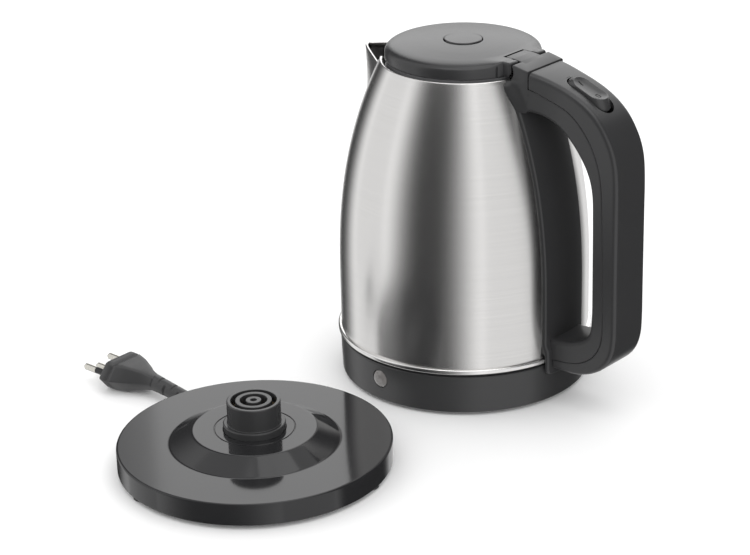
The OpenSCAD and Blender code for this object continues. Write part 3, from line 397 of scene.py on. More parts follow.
lead_radius = 0.00325
turn_radii = (0.0438, 0.0501)
turn_height = 0.0056
lead_turn = np.linspace(215, 838, 90)
lead_reach = turn_radii[0] + (turn_radii[1] - turn_radii[0]) * smooth_step(lead_turn, 520, 570)
wound = np.stack([lead_reach * np.cos(np.radians(lead_turn)), lead_reach * np.sin(np.radians(lead_turn)),
                  np.full(len(lead_turn), turn_height)], -1)
plug_at = np.array([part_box("plug_body")[0][0], middle_of("plug_pins")[1], 0.0085])
exit_side = plug_at[1] - base_at[1]
free_run = np.array([
    [-0.0330, 0.0396, turn_height], [-0.0420, 0.0353, turn_height], [-0.0510, 0.0316, turn_height],
    [-0.0600, 0.0288, turn_height], [-0.0680, 0.0271, turn_height], [-0.0750, exit_side, turn_height],
    [-0.0806, exit_side, turn_height]])
lead_path = even_path(np.vstack([wound, free_run]) + base_at, 0.002)
lead = tube("mains_lead", lead_path, lead_radius)
lead_pvc = plastic("black_pvc", (0.03, 0.03, 0.031), 0.42, grain=0.15, grain_size=1800)
lead.data.materials.append(lead_pvc)
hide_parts("cord", "cord_coil")
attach(lead, "base")


# ---------------------- plug
# The moulded plug: a flattened six-sided grip with a groove behind its face, a
# slotted sleeve that lets the lead bend, and three nickel-plated brass pins.
def rounded(corners, arc=6):
    """Rounds a closed outline given as (x, y, fillet). Each corner becomes an
    arc of that radius between its tangent points, with one more point on the
    straight to either side, so that flat faces stay flat in the shading."""
    corners = np.asarray(corners, float)
    point, fillet = corners[:, :2], np.maximum(corners[:, 2:], 1e-6)
    into = point - np.roll(point, 1, 0)
    out = np.roll(point, -1, 0) - point
    into /= np.linalg.norm(into, axis=1, keepdims=True)
    out /= np.linalg.norm(out, axis=1, keepdims=True)
    turn = np.arccos(np.clip((into * out).sum(1, keepdims=True), -1, 1 - 1e-12))
    inward = (out - into) / np.maximum(np.linalg.norm(out - into, axis=1, keepdims=True), 1e-9)
    centre = point + inward * fillet / np.cos(turn / 2)
    reach = fillet * np.tan(turn / 2)
    start, end = (point - into * reach - centre)[:, None], (point + out * reach - centre)[:, None]
    t = np.linspace(0, 1, arc)[None, :, None]
    angle = turn[:, None]
    arcs = centre[:, None] + (np.sin((1 - t) * angle) * start + np.sin(t * angle) * end) / np.sin(angle)
    before = (point - into * (reach + 0.3 * fillet))[:, None]
    after = (point + out * (reach + 0.3 * fillet))[:, None]
    return np.concatenate([before, arcs, after], 1).reshape(-1, 2)


def dress(material, *nodes):
    """Gives CAD nodes this material in place of their plain one."""
    for node in nodes:
        for place in cad[node].material_slots:
            place.material = material


# the grip's half-width and half-height at places along it, in millimetres; towards the lead
# its section turns from the hexagon into an ellipse
plug_along = np.array([0, 0.25, 0.9, 2, 5.3, 5.8, 6.9, 7.4, 9, 12, 15, 18, 21, 24, 27.5, 31, 32.5])
plug_half = np.array([15.6, 16.5, 17, 17, 17, 16.2, 16.2, 17, 16.3, 14.9, 13.4, 11.4, 9.3, 7.5, 6, 5, 4.9])
plug_rise = np.array([7.4, 8.1, 8.5, 8.5, 8.5, 7.7, 7.7, 8.5, 8.45, 8.35, 8.2, 7.7, 7.2, 6.6, 5.7, 5, 4.9])
plug_round = np.clip((plug_along - 15) / 14, 0, 1)[:, None]
hexagon = rounded([
    (1, 0, 0.14), (0.6, 1, 0.2), (-0.6, 1, 0.2), (-1, 0, 0.14), (-0.6, -1, 0.2), (0.6, -1, 0.2)])
hexagon_turn = np.arctan2(hexagon[:, 1], hexagon[:, 0])[None]
plug_y = plug_half[:, None] * ((1 - plug_round) * hexagon[None, :, 0] + plug_round * np.cos(hexagon_turn))
plug_z = plug_rise[:, None] * ((1 - plug_round) * hexagon[None, :, 1] + plug_round * np.sin(hexagon_turn))
plug_points = np.stack([np.broadcast_to(plug_along[:, None], plug_y.shape), plug_y, plug_z], -1)
plug = skin("plug_grip", plug_points / 1000 + plug_at, round_cols=True, ends=True)
plug_pvc = plastic("plug_pvc", (0.04, 0.04, 0.041), 0.42, grain=0.2, grain_size=1600)
plug.data.materials.append(plug_pvc)
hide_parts("plug_body")
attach(plug, "base")

# the sleeve's radius falls from root to tip; slots are cut top and bottom, then at the sides
sleeve_root, slots, first_slot, sleeve_sides = 0.031, 5, 0.02, 48
sleeve_from, sleeve_to = plug_at + (sleeve_root, 0, 0), base_at + free_run[-1]
sleeve_run = np.linspace(0, 1, 97)[:, None]
sleeve_turn = np.linspace(0, 2 * np.pi, sleeve_sides, endpoint=False)[None]
slot_at = np.clip(3 * np.cos(2 * np.pi * slots * (sleeve_run - first_slot)) - 1.4, 0, 1)
slot_side = np.sign(np.cos(np.pi * slots * (sleeve_run - first_slot)))
slot_width = np.clip(2.2 * slot_side * np.cos(2 * sleeve_turn) + 0.6, 0, 1)
sleeve_radius = (5 - 0.9 * sleeve_run - 0.85 * slot_at * slot_width) / 1000
sleeve_path = sleeve_from + (sleeve_to - sleeve_from) * sleeve_run
sleeve = tube("plug_sleeve", sleeve_path, sleeve_radius, sleeve_sides)
sleeve.data.materials.append(plug_pvc)
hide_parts("plug_body")
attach(sleeve, "base")


def metal(name, colour, roughness, streaks=0.1, fine=(900, 900, 900), anisotropic=0.0):
    """A bare or plated metal. Its gloss drifts along fine streaks, whose
    fineness is given for each direction. Returns the material."""
    made, shader = surfaced(name, worked_metal(), {
        "Colour": (*colour, 1), "Roughness": roughness, "Streaks": streaks, "Fineness": fine}, 0.00002)
    set_sockets(shader, {"Metallic": 1.0, "Anisotropic": anisotropic,
                         "Anisotropic Rotation": 0.25 if anisotropic else 0.0})
    if anisotropic:
        turning = add_node(made.node_tree, "Tangent", direction_type="RADIAL", axis="Z")
        wire(made.node_tree, [(turning, "Tangent", shader, "Tangent")])
    return made


def worked_metal():
    """The group behind every metal, built once: streaks drawn out by a fineness
    for each direction, which vary the colour, the gloss and a shallow height."""
    found = bpy.data.node_groups.get("worked_metal")
    if found:
        return found
    group, given, result = new_group(
        "worked_metal",
        [("Place", "NodeSocketVector", None), ("Colour", "NodeSocketColor", (0.6, 0.6, 0.6, 1)),
         ("Roughness", "NodeSocketFloat", 0.3), ("Streaks", "NodeSocketFloat", 0.1),
         ("Fineness", "NodeSocketVector", None)],
        [("Colour", "NodeSocketColor"), ("Roughness", "NodeSocketFloat"), ("Height", "NodeSocketFloat")])
    stretch = add_node(group, "VectorMath", operation="MULTIPLY")
    streak = add_node(group, "TexNoise", {"Scale": 1.0, "Detail": 3})
    wire(group, [(given, "Place", stretch, 0), (given, "Fineness", stretch, 1),
                 (stretch, 0, streak, "Vector")])
    vary(group, given, result, streak, "Streaks", streak, "Streaks")
    return group


pin_nickel = metal("pin_nickel", (0.78, 0.76, 0.70), 0.22, streaks=0.5, fine=(2600, 500, 500))
dress(pin_nickel, "plug_pins")
dress(plastic("pin_sleeve_nylon", (0.014, 0.014, 0.015), 0.35, grain=0.1), "pin_sleeves")


# ---------------------- power base
# A glossy black moulding: a flat disc with a turned-down skirt and a raised
# centre with a fine ring round it. The lead leaves through a notch in the skirt.
def turned(name, profile, centre, steps=144):
    """A closed profile (radius, height) in millimetres, turned once round the
    upright line through centre."""
    radius, height = np.asarray(profile).T / 1000
    angle = np.linspace(0, 2 * np.pi, steps, endpoint=False)[:, None]
    points = np.stack([centre[0] + radius * np.cos(angle), centre[1] + radius * np.sin(angle),
                       np.broadcast_to(height, (steps, len(height)))], -1)
    return skin(name, points, round_rows=True, round_cols=True)


def outward_normals(outline):
    """The unit normals of a counter-clockwise outline (n, 2): square to the
    line from each point's neighbour before it to the one after."""
    along = np.roll(outline, -1, 0) - np.roll(outline, 1, 0)
    return np.stack([along[:, 1], -along[:, 0]], -1) / np.linalg.norm(along, axis=1)[:, None]


def prism(name, outline, low, high, edge, place):
    """An outline (n, 2), run counter-clockwise, raised from low to high. Near
    both faces each ring moves inwards along the outline's normals by a quarter
    circle of radius edge. place turns (u, v, w) in millimetres to metres."""
    turn = np.linspace(0, np.pi / 2, 5)
    inset = edge * np.concatenate([[1.5], 1 - np.sin(turn), 1 - np.sin(turn[::-1]), [1.5]])
    drop = edge * (1 - np.cos(turn))
    level = np.concatenate([[low], low + drop, high - drop[::-1], [high]])
    rings = outline[None] - outward_normals(outline)[None] * inset[:, None, None]
    w = np.broadcast_to(level[:, None], rings.shape[:2])
    thing = skin(name, place(rings[..., 0], rings[..., 1], w), round_cols=True, ends=True)
    thing.data.set_sharp_from_angle(angle=np.radians(34))
    return thing


def cut(thing, cutter):
    """Takes the cutter's volume out of the thing, for good, and drops the cutter."""
    knife = thing.modifiers.new("cut", "BOOLEAN")
    knife.object, knife.solver = cutter, "EXACT"
    seen_by = bpy.context.evaluated_depsgraph_get()
    result = bpy.data.meshes.new_from_object(thing.evaluated_get(seen_by))
    thing.modifiers.clear()
    thing.data = result
    result.set_sharp_from_angle(angle=np.radians(38))
    bpy.data.objects.remove(cutter)


def at_base(u, v, w):
    """Millimetres from the middle of the base to metres."""
    return np.stack([u, v, w], -1) / 1000 + base_at


base_top = turned("base_top", rounded([
    (75.5, 2, 0.2), (77.5, 2, 0.6), (77.5, 15, 1.0), (48, 15, 2.2), (35.1, 22.2, 2.6), (23.05, 22.2, 0.15),
    (22.85, 21.8, 0.1), (22.4, 21.8, 0.1), (22.2, 22.2, 0.15), (17.8, 22.2, 0.2), (17.8, 20.2, 0.1),
    (34.2, 20.2, 0.6), (47, 13, 0.6), (75.5, 13, 0.4)]), base_at, steps=192)
base_gloss = plastic("base_gloss", (0.018, 0.018, 0.019), 0.09, grain=0.02, grain_size=500, mottle=0.2)
base_top.data.materials.append(base_gloss)
notch_line = rounded([(-84, 22.4, 2), (-66, 22.9, 2), (-66, 30.6, 2), (-84, 30.1, 2)])
cut(base_top, prism("lead_notch", notch_line, -3, 9.5, 0.6, at_base))
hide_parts("base_shell")
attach(base_top, "base")

# ---------------------- connector tower
# The plug connector that the kettle drops onto: a black tower on a low collar,
# with two ring grooves and a centre hole that hold brass contacts.
tower = turned("tower", rounded([
    (0, 18.2, 0), (21, 18.2, 0.2), (21, 20.2, 0.2), (17.6, 20.2, 0.1), (17.6, 26.2, 0.7), (15.1, 26.2, 0.3),
    (15.1, 39.4, 0.6), (12.9, 39.4, 0.25), (12.9, 26.4, 0.1), (10.3, 26.4, 0.1), (10.3, 39.4, 0.3),
    (7.6, 39.4, 0.3), (7.6, 26.4, 0.1), (4.4, 26.4, 0.1), (4.4, 39.4, 0.3), (1.8, 39.4, 0.25),
    (1.8, 26.4, 0.1), (0, 26.4, 0)]), base_at, steps=96)
tower_black = plastic("tower_black", (0.036, 0.036, 0.037), 0.26, grain=0.1, grain_size=1400)
tower.data.materials.append(tower_black)
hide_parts("connector_tower")
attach(tower, "base")
contact_brass = metal("contact_brass", (0.72, 0.52, 0.24), 0.28, streaks=0.5, fine=(300, 300, 1500))
dress(contact_brass, "tower_outer_contact", "tower_inner_contact", "tower_earth_contact")

# ---------------------- base underside
# A ribbed black plate closes the base and keeps the wound lead in its channel.
# Three steel screws hold it, and the base stands on three rubber feet.
dress(plastic("plate_black", (0.021, 0.021, 0.022), 0.45, grain=0.3), "base_plate", "cord_clamp")
dress(plastic("foot_rubber", (0.03, 0.03, 0.03), 0.75, grain=0.5, grain_size=600), "base_feet")
screw_steel = metal("screw_steel", (0.58, 0.57, 0.55), 0.3, streaks=0.4)
dress(screw_steel, "base_screws", "cover_screws", "handle_screws", "hinge_pin")

# ---------------------- vessel
# The water vessel is drawn from brushed stainless sheet 0.8 mm thick. Its wall
# leans in to a rolled mouth, and a V-shaped spout is welded over an opening.
wall_low_r, mouth_r, lean_power, sheet, bead_r = 75.5, 49, 2.4, 0.8, 0.9
wall_foot_z, shoulder_z, spout_foot_z, lip_z, mouth_z = 28.4, 62, 140, 190.4, 195.5


def wall_radius(z):
    """Straight up to the shoulder; above it, inwards by the height to a power."""
    lean = np.clip((z - shoulder_z) / (mouth_z - shoulder_z), 0, 1)
    return wall_low_r - (wall_low_r - mouth_r) * lean ** lean_power


def vessel_surface(turn, z):
    """The outer radius at a bearing from the spout's middle: the larger of the
    wall and two straight spout sides that run from a rounded ridge to the wall.
    reach is the ridge's distance from the axis and half the spout's half-width,
    both read off between heights."""
    wall = wall_radius(z)
    reach = np.interp(z, [spout_foot_z, 152, 165, 180, 190.6], [68.2, 70.4, 72.2, 74.0, 75.3])
    half = np.interp(z, [spout_foot_z, 146, 152, 158, 165, 172, 180, 190.6],
                     [3.2, 10, 15.6, 19.6, 22.7, 24.8, 26.4, 26.8])
    root = np.sqrt(wall ** 2 - half ** 2)
    soft = 0.05
    ridge = reach * (half + (reach - root) * soft) / half
    side = np.sqrt(np.sin(turn) ** 2 + soft ** 2)
    flat = ridge * half / (half * np.cos(turn) + (ridge - root) * side)
    bearing = np.abs(np.arctan2(np.sin(turn), np.cos(turn)))
    in_spout = (bearing < np.arctan2(half, root)) & (z > spout_foot_z)
    return np.where(in_spout, np.maximum(wall, flat), wall)


def at_kettle(u, v, w):
    """Millimetres from the vessel's axis on the floor to metres."""
    return np.stack([u, v, w], -1) / 1000 + kettle_at


part_turn = np.linspace(0, 2 * np.pi, 360, endpoint=False)
spout_turn = part_turn - 0.8 * np.sin(part_turn)
# the rim is level at the mouth and drops to the lip beside the spout's middle
off_spout = np.abs(np.arctan2(np.sin(spout_turn), np.cos(spout_turn)))[:, None]
rim_height = lip_z + (mouth_z - lip_z) * smooth_step(off_spout, np.radians(29.5), np.radians(34))
rise = np.linspace(0, 1, 90)[None]
outer_z = wall_foot_z + (rim_height - wall_foot_z) * rise
outer_r = vessel_surface(spout_turn[:, None], outer_z)
outer = np.stack([-outer_r * np.cos(spout_turn)[:, None], -outer_r * np.sin(spout_turn)[:, None],
                  outer_z], -1)
around_wall = np.roll(outer, -1, 0) - np.roll(outer, 1, 0)
up_wall = np.gradient(outer, axis=1)
outward = np.cross(up_wall, around_wall)
outward /= np.linalg.norm(outward, axis=-1, keepdims=True)
outward *= np.sign((outward[..., :2] * outer[..., :2]).sum(-1))[..., None]
rim_out, rim_up = outward[:, -1:], up_wall[:, -1:]
rim_up = rim_up / np.linalg.norm(rim_up, axis=-1, keepdims=True)
bead_turn = np.radians(np.linspace(12, 236, 12))[None, :, None]
bead = outer[:, -1:] + bead_r * (rim_out * (np.cos(bead_turn) - 1) + rim_up * np.sin(bead_turn))
inner = (outer - sheet * outward)[:, ::-1][:, 1:]
vessel_points = np.concatenate([outer, bead, inner], 1)
vessel = skin("vessel", at_kettle(vessel_points[..., 0], vessel_points[..., 1], vessel_points[..., 2]),
              round_rows=True, round_cols=True)
vessel_steel = metal("brushed_steel", (0.82, 0.81, 0.8), 0.26, streaks=0.16, fine=(5, 5, 2600),
                     anisotropic=0.65)
vessel.data.materials.append(vessel_steel)
# the steam hole: a rod along X, 3 mm in radius and 187 mm up, from 49 mm off the axis outwards
steam_hole = rounded([(0, 184, 0), (3, 184, 0.2), (3, 200, 0.2), (0, 200, 0)])
steam_way = turned("steam_way", steam_hole, (0, 0, 0), steps=32)
steam_way.data.transform(Matrix((
    (0, 0, 1, kettle_at[0] - 0.135), (0, 1, 0, kettle_at[1]), (-1, 0, 0, 0.187), (0, 0, 0, 1))))
cut(vessel, steam_way)
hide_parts("body_shell", "spout")
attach(vessel, "kettle")

# ---------------------- trim ring
# A polished stainless bead, rolled from strip and pressed on over the vessel's
# lower edge. A narrow dark gap is left between it and the plastic foot.
trim = turned("trim_band", rounded([
    (75.5, 29.9, 0.1), (77.35, 29.6, 1), (77.35, 27.1, 0.5), (75.3, 27, 0.1), (74.7, 27, 0.1),
    (74.7, 28.4, 0.1), (75.5, 28.4, 0.1)]), kettle_at, steps=240)
polished_steel = metal("polished_steel", (0.92, 0.91, 0.9), 0.22, streaks=0.1, fine=(40, 40, 900))
trim.data.materials.append(polished_steel)
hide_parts("trim_ring")
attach(trim, "kettle")

# ---------------------- heater and socket
# Under the stainless floor lie an aluminium heat spreader and a bent sheathed
# element. The control unit holds the socket with its brass rings and pin.
dress(metal("floor_steel", (0.6, 0.59, 0.57), 0.34, streaks=0.4, fine=(300, 300, 300)), "floor_plate")
dress(metal("spreader_aluminium", (0.72, 0.72, 0.73), 0.42, streaks=0.5, fine=(200, 200, 200)),
      "heat_spreader")
dress(metal("element_sheath", (0.4, 0.39, 0.38), 0.45, streaks=0.5, fine=(500, 500, 500)),
      "heating_element")
dress(plastic("control_black", (0.022, 0.022, 0.022), 0.5, grain=0.3), "control_unit")
dress(contact_brass, "socket_outer_ring", "socket_inner_ring", "socket_pin")

# ---------------------- foot
# A black moulded foot carries the vessel; its cover holds it up by three screws,
# and a small round lens over a neon lamp glows through it when the water heats.
foot = turned("foot", rounded([
    (74.4, 1.2, 0.3), (75.2, 2, 0.5), (75.5, 9, 0.3), (76.1, 25.4, 0.9), (75, 25, 0.1), (74.4, 23.5, 0.1),
    (74.4, 26.4, 0.1), (73.6, 26.4, 0.1), (73.6, 30, 0.1), (71.6, 30, 0.1), (71.6, 24.2, 0.1),
    (73.7, 22.2, 0.1), (72.8, 1.2, 0.1)]), kettle_at, steps=240)
lens_bearing, lens_height = np.radians(-93), 0.0153
lens_x, lens_y = np.cos(lens_bearing), np.sin(lens_bearing)
lens_seat = rounded([(0, 66, 0), (5.7, 66, 0.2), (5.7, 80, 0.2), (0, 80, 0)])
lens_hole = turned("lens_hole", lens_seat, (0, 0, 0), steps=48)
lens_hole.data.transform(Matrix((
    (-lens_y, 0, lens_x, kettle_at[0]), (lens_x, 0, lens_y, kettle_at[1]), (0, 1, 0, lens_height),
    (0, 0, 0, 1))))
cut(foot, lens_hole)
foot_black = plastic("foot_black", (0.036, 0.036, 0.037), 0.3, grain=0.15, grain_size=1800)
foot.data.materials.append(foot_black)
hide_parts("foot_housing")
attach(foot, "kettle")
dress(plastic("cover_black", (0.024, 0.024, 0.025), 0.42, grain=0.4), "bottom_cover")
dress(plastic("lens_smoke", (0.2, 0.19, 0.185), 0.12, coat=0.5), "indicator_lens")
dress(plastic("lamp_amber", (0.6, 0.2, 0.06), 0.1, specular=0.8), "indicator_lamp")

# ---------------------- handle
# The handle is two black mouldings joined along a parting line: an outer shell
# and a grip side, which carries the hinge block and a plate down the vessel.
# Each line below runs from the hinge round the loop to the low arm.
outer_line = np.array([
    [60.8, 203.15], [68, 201.9], [77, 199.7], [86, 196.8], [95, 192.8], [103.2, 187.5], [110, 181],
    [115.2, 173.3], [118.9, 165.3], [121, 156], [121.8, 143], [121.9, 125], [122, 100], [122.1, 78],
    [122.2, 62], [121.7, 49.6], [119.2, 40.2], [114, 32.7], [106.3, 27.3], [97.2, 24], [88, 23.1],
    [78.5, 23]])
seam_line = np.array([
    [60.8, 192.9], [67, 191.2], [73.5, 189], [80, 187], [87, 184.3], [93, 180.2], [98.1, 175],
    [102.9, 168.4], [106.7, 160.8], [109.5, 152], [111, 141], [111.8, 125], [112.4, 100], [112.8, 78],
    [113.4, 62], [113, 51.5], [110.4, 43.6], [105, 36.8], [97.5, 32.2], [89, 30], [82, 29.2], [78.5, 29]])
grip_line = np.array([
    [58, 178.2], [65, 178], [70.5, 177], [76, 175.2], [81.5, 172.2], [87, 168], [91.8, 163.2],
    [96, 157.8], [99.6, 152], [102.4, 145], [104, 136], [104.4, 122], [104.6, 100], [104.8, 78],
    [104.8, 64], [103.6, 53], [99.5, 47.5], [92.5, 44.2], [86, 42.6], [81, 42], [77, 41.8], [72, 41.8]])
stations = np.linspace(0, len(seam_line) - 1, 190)
half_grip, seam_gap, wall_play, arm_above = 14.9, 0.02, 0.1, 120


def flare(x):
    """The handle's half-width towards the hinge: the grip's, and an even S out
    to 3 mm more as it nears the vessel."""
    return half_grip + 3.0 * (1 - smooth_step(x, 42, 84))


def handle_half(name, face_line, edge, crown):
    """One moulding of the handle. At each station its section starts on the
    parting line, runs out by the distance to the face line, and ends in a
    crowned face with two rounded edges; the sides are spread by the flare."""
    seam = along_curve(seam_line, stations)
    run = along_curve(face_line, stations) - seam
    depth = np.linalg.norm(run, axis=1)
    run /= depth[:, None]
    in_arm = seam[:, 1:] > arm_above
    crown = crown + 0.9 * (1 - smooth_step(seam[:, :1], 70, 105)) * in_arm
    drawn = 30
    section = rounded([(0, -half_grip, 0.7), (drawn, -half_grip, edge), (drawn, half_grip, edge),
                       (0, half_grip, 0.7)], arc=8)
    far = (section[:, 0] > drawn / 2)[None]
    fall = crown * (section[None, :, 1] / half_grip) ** 2
    out = np.where(far, section[None, :, 0] - drawn + depth[:, None] - fall, section[None, :, 0]) + seam_gap
    x = seam[:, :1] + run[:, :1] * out
    z = seam[:, 1:] + run[:, 1:] * out
    side = section[None, :, 1] * np.where(in_arm, flare(np.maximum(x, 58)) / half_grip, 1)
    clear = np.maximum(1, (wall_radius(z) + wall_play) / np.hypot(x, side))
    return skin(name, at_kettle(x * clear, side * clear, z), round_cols=True, ends=True)


handle_black = plastic("handle_black", (0.03, 0.03, 0.031), 0.3, grain=0.1, grain_size=1800, mottle=0.12)
outer_half = handle_half("handle_outer", outer_line, 2.6, 0.15)
grip_half = handle_half("handle_grip", grip_line, 2.6, 0.2)
slope, rocker_x, rocker_z = np.radians(27.5), 91.8, 191.8


def at_rocker(u, v, w):
    """Millimetres in the rocker's own frame, u down the slope and w out of the
    handle, to metres."""
    return at_kettle(rocker_x + u * np.cos(slope) + w * np.sin(slope), v,
                     rocker_z - u * np.sin(slope) + w * np.cos(slope))


def stadium(length, width, steps=20):
    """A straight-sided outline with half-round ends, counter-clockwise."""
    turn = np.linspace(-np.pi / 2, np.pi / 2, steps)
    end = np.stack([(length - width) / 2 + width / 2 * np.cos(turn), width / 2 * np.sin(turn)], -1)
    return np.vstack([end, -end])


cut(outer_half, prism("recess", stadium(32.8, 14.1), -12.5, 18, 0.05, at_rocker))
cut(grip_half, prism("recess", stadium(35.4, 15.4), -12.5, 18, 0.05, at_rocker))


plate_low, plate_tall, half_plate, plate_thick, plate_edge = 19.5, 164, 18.5, 2, 1.3
plate_end, plate_corner = 0.8, 3.5
over_trim, trim_clear_z, on_wall_z = 79.4, 33.5, 38.5


def down_wall(t):
    """The plate's outer face: its distance from the axis at t from foot to
    top, over the trim band at first and then a plate's thickness off the wall."""
    z = plate_low + plate_tall * t
    off = wall_radius(z) + plate_thick
    stepped = off + (over_trim - off) * (1 - smooth_step(z, trim_clear_z, on_wall_z))
    return np.where(z < trim_clear_z, over_trim, stepped), z


def quarter_fall(t, radius):
    """How far the plate's lower end falls away at t, by a quarter circle: from
    1 at the end to 0 at the radius."""
    return 1 - np.sqrt(1 - np.clip(1 - t * plate_tall / radius, 0, 1) ** 2)


plate_t = np.concatenate([np.linspace(0, 0.02, 12)[:-1], np.linspace(0.02, 1, 110)])[:, None]
edge_turn = np.linspace(0, np.pi / 2, 6)
edge_side = half_plate - plate_edge * (1 - np.cos(edge_turn))
edge_fall = plate_edge * (1 - np.sin(edge_turn))
plate_depth, middle_side = 3.9, np.linspace(16.8, -16.8, 19)
plate_side = np.concatenate([[half_plate], edge_side, middle_side, -edge_side[::-1], [-half_plate]])[None]
plate_drop = np.concatenate([[plate_depth], edge_fall, 0 * middle_side, edge_fall[::-1], [plate_depth]])[None]
plate_r, plate_z = down_wall(plate_t)
# its back stays just clear of the wall and, at its lower end, of the trim band
plate_r = np.maximum(plate_r - plate_drop - plate_end * quarter_fall(plate_t, plate_end),
                     np.where(plate_z > 32, wall_radius(plate_z) + 0.08, 77.5))
plate_side = plate_side * (1 - plate_corner / half_plate * quarter_fall(plate_t, plate_corner))
plate_x = np.sqrt(plate_r ** 2 - plate_side ** 2)
plate_points = at_kettle(plate_x, np.broadcast_to(plate_side, plate_x.shape),
                         np.broadcast_to(plate_z, plate_x.shape))
back_plate = skin("back_plate", plate_points, round_cols=True, ends=True)
hinge_x, hinge_z = 43.5, 201.3


def sideways(u, v, w):
    """An outline drawn in X and Z and raised along Y, in millimetres, to metres."""
    return at_kettle(u, -w, v)


def hinge_arm():
    """The arm from the vessel to the grip, as level slices, one above another.
    A slice runs out along one side, whose half-width falls evenly to the
    grip's, across the end, back along the other side, and closes along the
    vessel's wall or, higher up, round the sweep of the lid's ears. The slices
    tilt with height to follow the sloping top, and the last ones move inwards
    by a quarter circle to round its edge."""
    low, top, edge, steps = 178.8, 204.4, 1.0, 60
    turn = np.linspace(0, np.pi / 2, 6)[1:]
    chamfer, body = 0.4, np.linspace(low, top, steps)
    levels = np.concatenate([[low - chamfer], body, top + edge * np.sin(turn)])[:, None]
    inset = np.concatenate([[chamfer], 0 * body, edge * (1 - np.cos(turn))])[:, None]
    high = smooth_step(levels, 195.6, 196.2)
    widest = 18.6 + 2.2 * smooth_step(levels, 178, 190) - 3.6 * smooth_step(levels, 192, 197)
    end_x = np.where(levels < 193.3, 65 - 6 * (1 - smooth_step(levels, 178, 185)), 60.1)

    def inner_x(y):
        wall = np.sqrt(np.maximum((wall_radius(levels) + wall_play) ** 2 - y ** 2, 0))
        sweep = hinge_x + np.sqrt(np.clip(6.9 ** 2 - (levels - hinge_z) ** 2, 28, None))
        return np.where(high > 0.5, np.maximum(sweep, np.where(levels < 197.3, 49.1, 0)), wall)

    def half(x):
        start = inner_x(widest)
        wider = (widest - flare(start)) * (1 - smooth_step(x, start, start + 9))
        return flare(x) + wider - 0.02 * np.clip(x - 61, 0, None) - inset

    s = np.linspace(0, 1, 14)[None]
    start = inner_x(widest) + inset
    out_x = start + (end_x - inset * 0.3 - start) * s
    out_y = -half(out_x)
    end_y = out_y[:, -1:] * (1 - 2 * np.linspace(0, 1, 9)[None, 1:-1])
    in_y = -out_y[:, :1] * (1 - 2 * np.linspace(0, 1, 18)[None, 1:-1])
    x = np.hstack([out_x, end_y * 0 + out_x[:, -1:], out_x[:, ::-1], inner_x(in_y) + inset])
    y = np.hstack([out_y, end_y, -out_y[:, ::-1], in_y])
    z = levels - 0.195 * np.clip(x - 49, 0, None) * smooth_step(levels, 186, 203)
    return skin("hinge_arm", at_kettle(x, y, z), round_cols=True, ends=True)


arm = hinge_arm()
arm.data.set_sharp_from_angle(angle=np.radians(40))
tongue = prism("hinge_tongue", rounded([
    (38.2, 197.4, 0.5), (52.5, 197.4, 0.5), (52.5, 204.72, 0.2), (49, 205.4, 6), (44, 206, 6),
    (38.2, 206, 0.8), (36.2, 202, 2.5)]), -8.7, 8.7, 0.35, sideways)
for piece, node in ((outer_half, "handle_shell"), (grip_half, "handle_frame"), (back_plate, "handle_frame"),
                    (arm, "handle_frame"), (tongue, "handle_frame")):
    piece.data.materials.append(handle_black)
    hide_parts(node)
    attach(piece, "kettle")

# ---------------------- switch
# A black rocker with a dished top turns in a cup let into the handle. Steam on a
# bimetal disc below throws a small lever, which knocks the rocker off.
dress(plastic("switch_black", (0.012, 0.012, 0.012), 0.5, grain=0.3), "switch_cup", "steam_switch")
dress(metal("bimetal", (0.6, 0.6, 0.62), 0.35), "bimetal_disc")
dress(plastic("lever_grey", (0.3, 0.3, 0.3), 0.45), "trip_lever")


def capsule(left, left_r, right, right_r, steps=24):
    """An outline round two half circles about points on the u axis."""
    turn = np.linspace(-np.pi / 2, np.pi / 2, steps)
    return np.vstack([np.stack([right + right_r * np.cos(turn), right_r * np.sin(turn)], -1),
                      np.stack([left - left_r * np.cos(turn), -left_r * np.sin(turn)], -1)])


dish_left, dish_right = -6.8, 3.3


def rocker_top(u, v):
    """The height of the cap's top: it rises along a parabola to the raised
    end, less a finger dish that starts with an edge and deepens inwards."""
    along = 3.0 + 0.0682 * (u + 13) + 0.00736 * (u + 13) * (u - 4.6)
    out = np.hypot(np.maximum(np.maximum(dish_left - u, u - dish_right), 0), v) / (6.28 + 0.01 * u)
    return along - 1.1 * (1 - np.clip(out, 0, 1) ** 2.4)


# rings from the skirt's lower edge up over a rounded lip and in to the dish's middle line
cap_base, cap_lip = capsule(-8.9, 6.5, 7.7, 6.5), capsule(dish_left, 6.2, dish_right, 6.35)
cap_line = np.clip(cap_lip, (dish_left, 0), (dish_right, 0))
lip_turn = np.linspace(0, np.pi / 2, 5)[1:, None, None]
inwards = np.linspace(1, 0, 13)[1:, None, None]
lip_base = cap_lip + 0.12 * (cap_base - cap_lip)
lip_inner = cap_line + (cap_lip - cap_line) * 0.93
rings = np.concatenate([cap_base[None] * 0.93, cap_base[None], cap_base[None], lip_base[None],
                        lip_inner + (lip_base - lip_inner) * np.cos(lip_turn),
                        cap_line + (lip_inner - cap_line) * inwards])
height = rocker_top(rings[..., 0], rings[..., 1])
edge_level = height[3] - 0.55
# the underside slopes, so that it clears the cup when the rocker is pressed
height[0] = 0.152 * cap_base[:, 0] - 4.06
height[1:3] = np.stack([height[0] + 0.8, np.full(len(cap_base), 0.6)])
height[3] = edge_level
height[4:8] = edge_level + (height[4:8] - edge_level) * np.sin(lip_turn[..., 0])
rocker = skin("rocker_cap", at_rocker(rings[..., 0], rings[..., 1], height), round_cols=True, ends=True)
rocker_black = plastic("rocker_black", (0.04, 0.04, 0.041), 0.3, grain=0.1, grain_size=1800)
rocker.data.materials.append(rocker_black)
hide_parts("rocker")
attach(rocker, "switch_rocker")


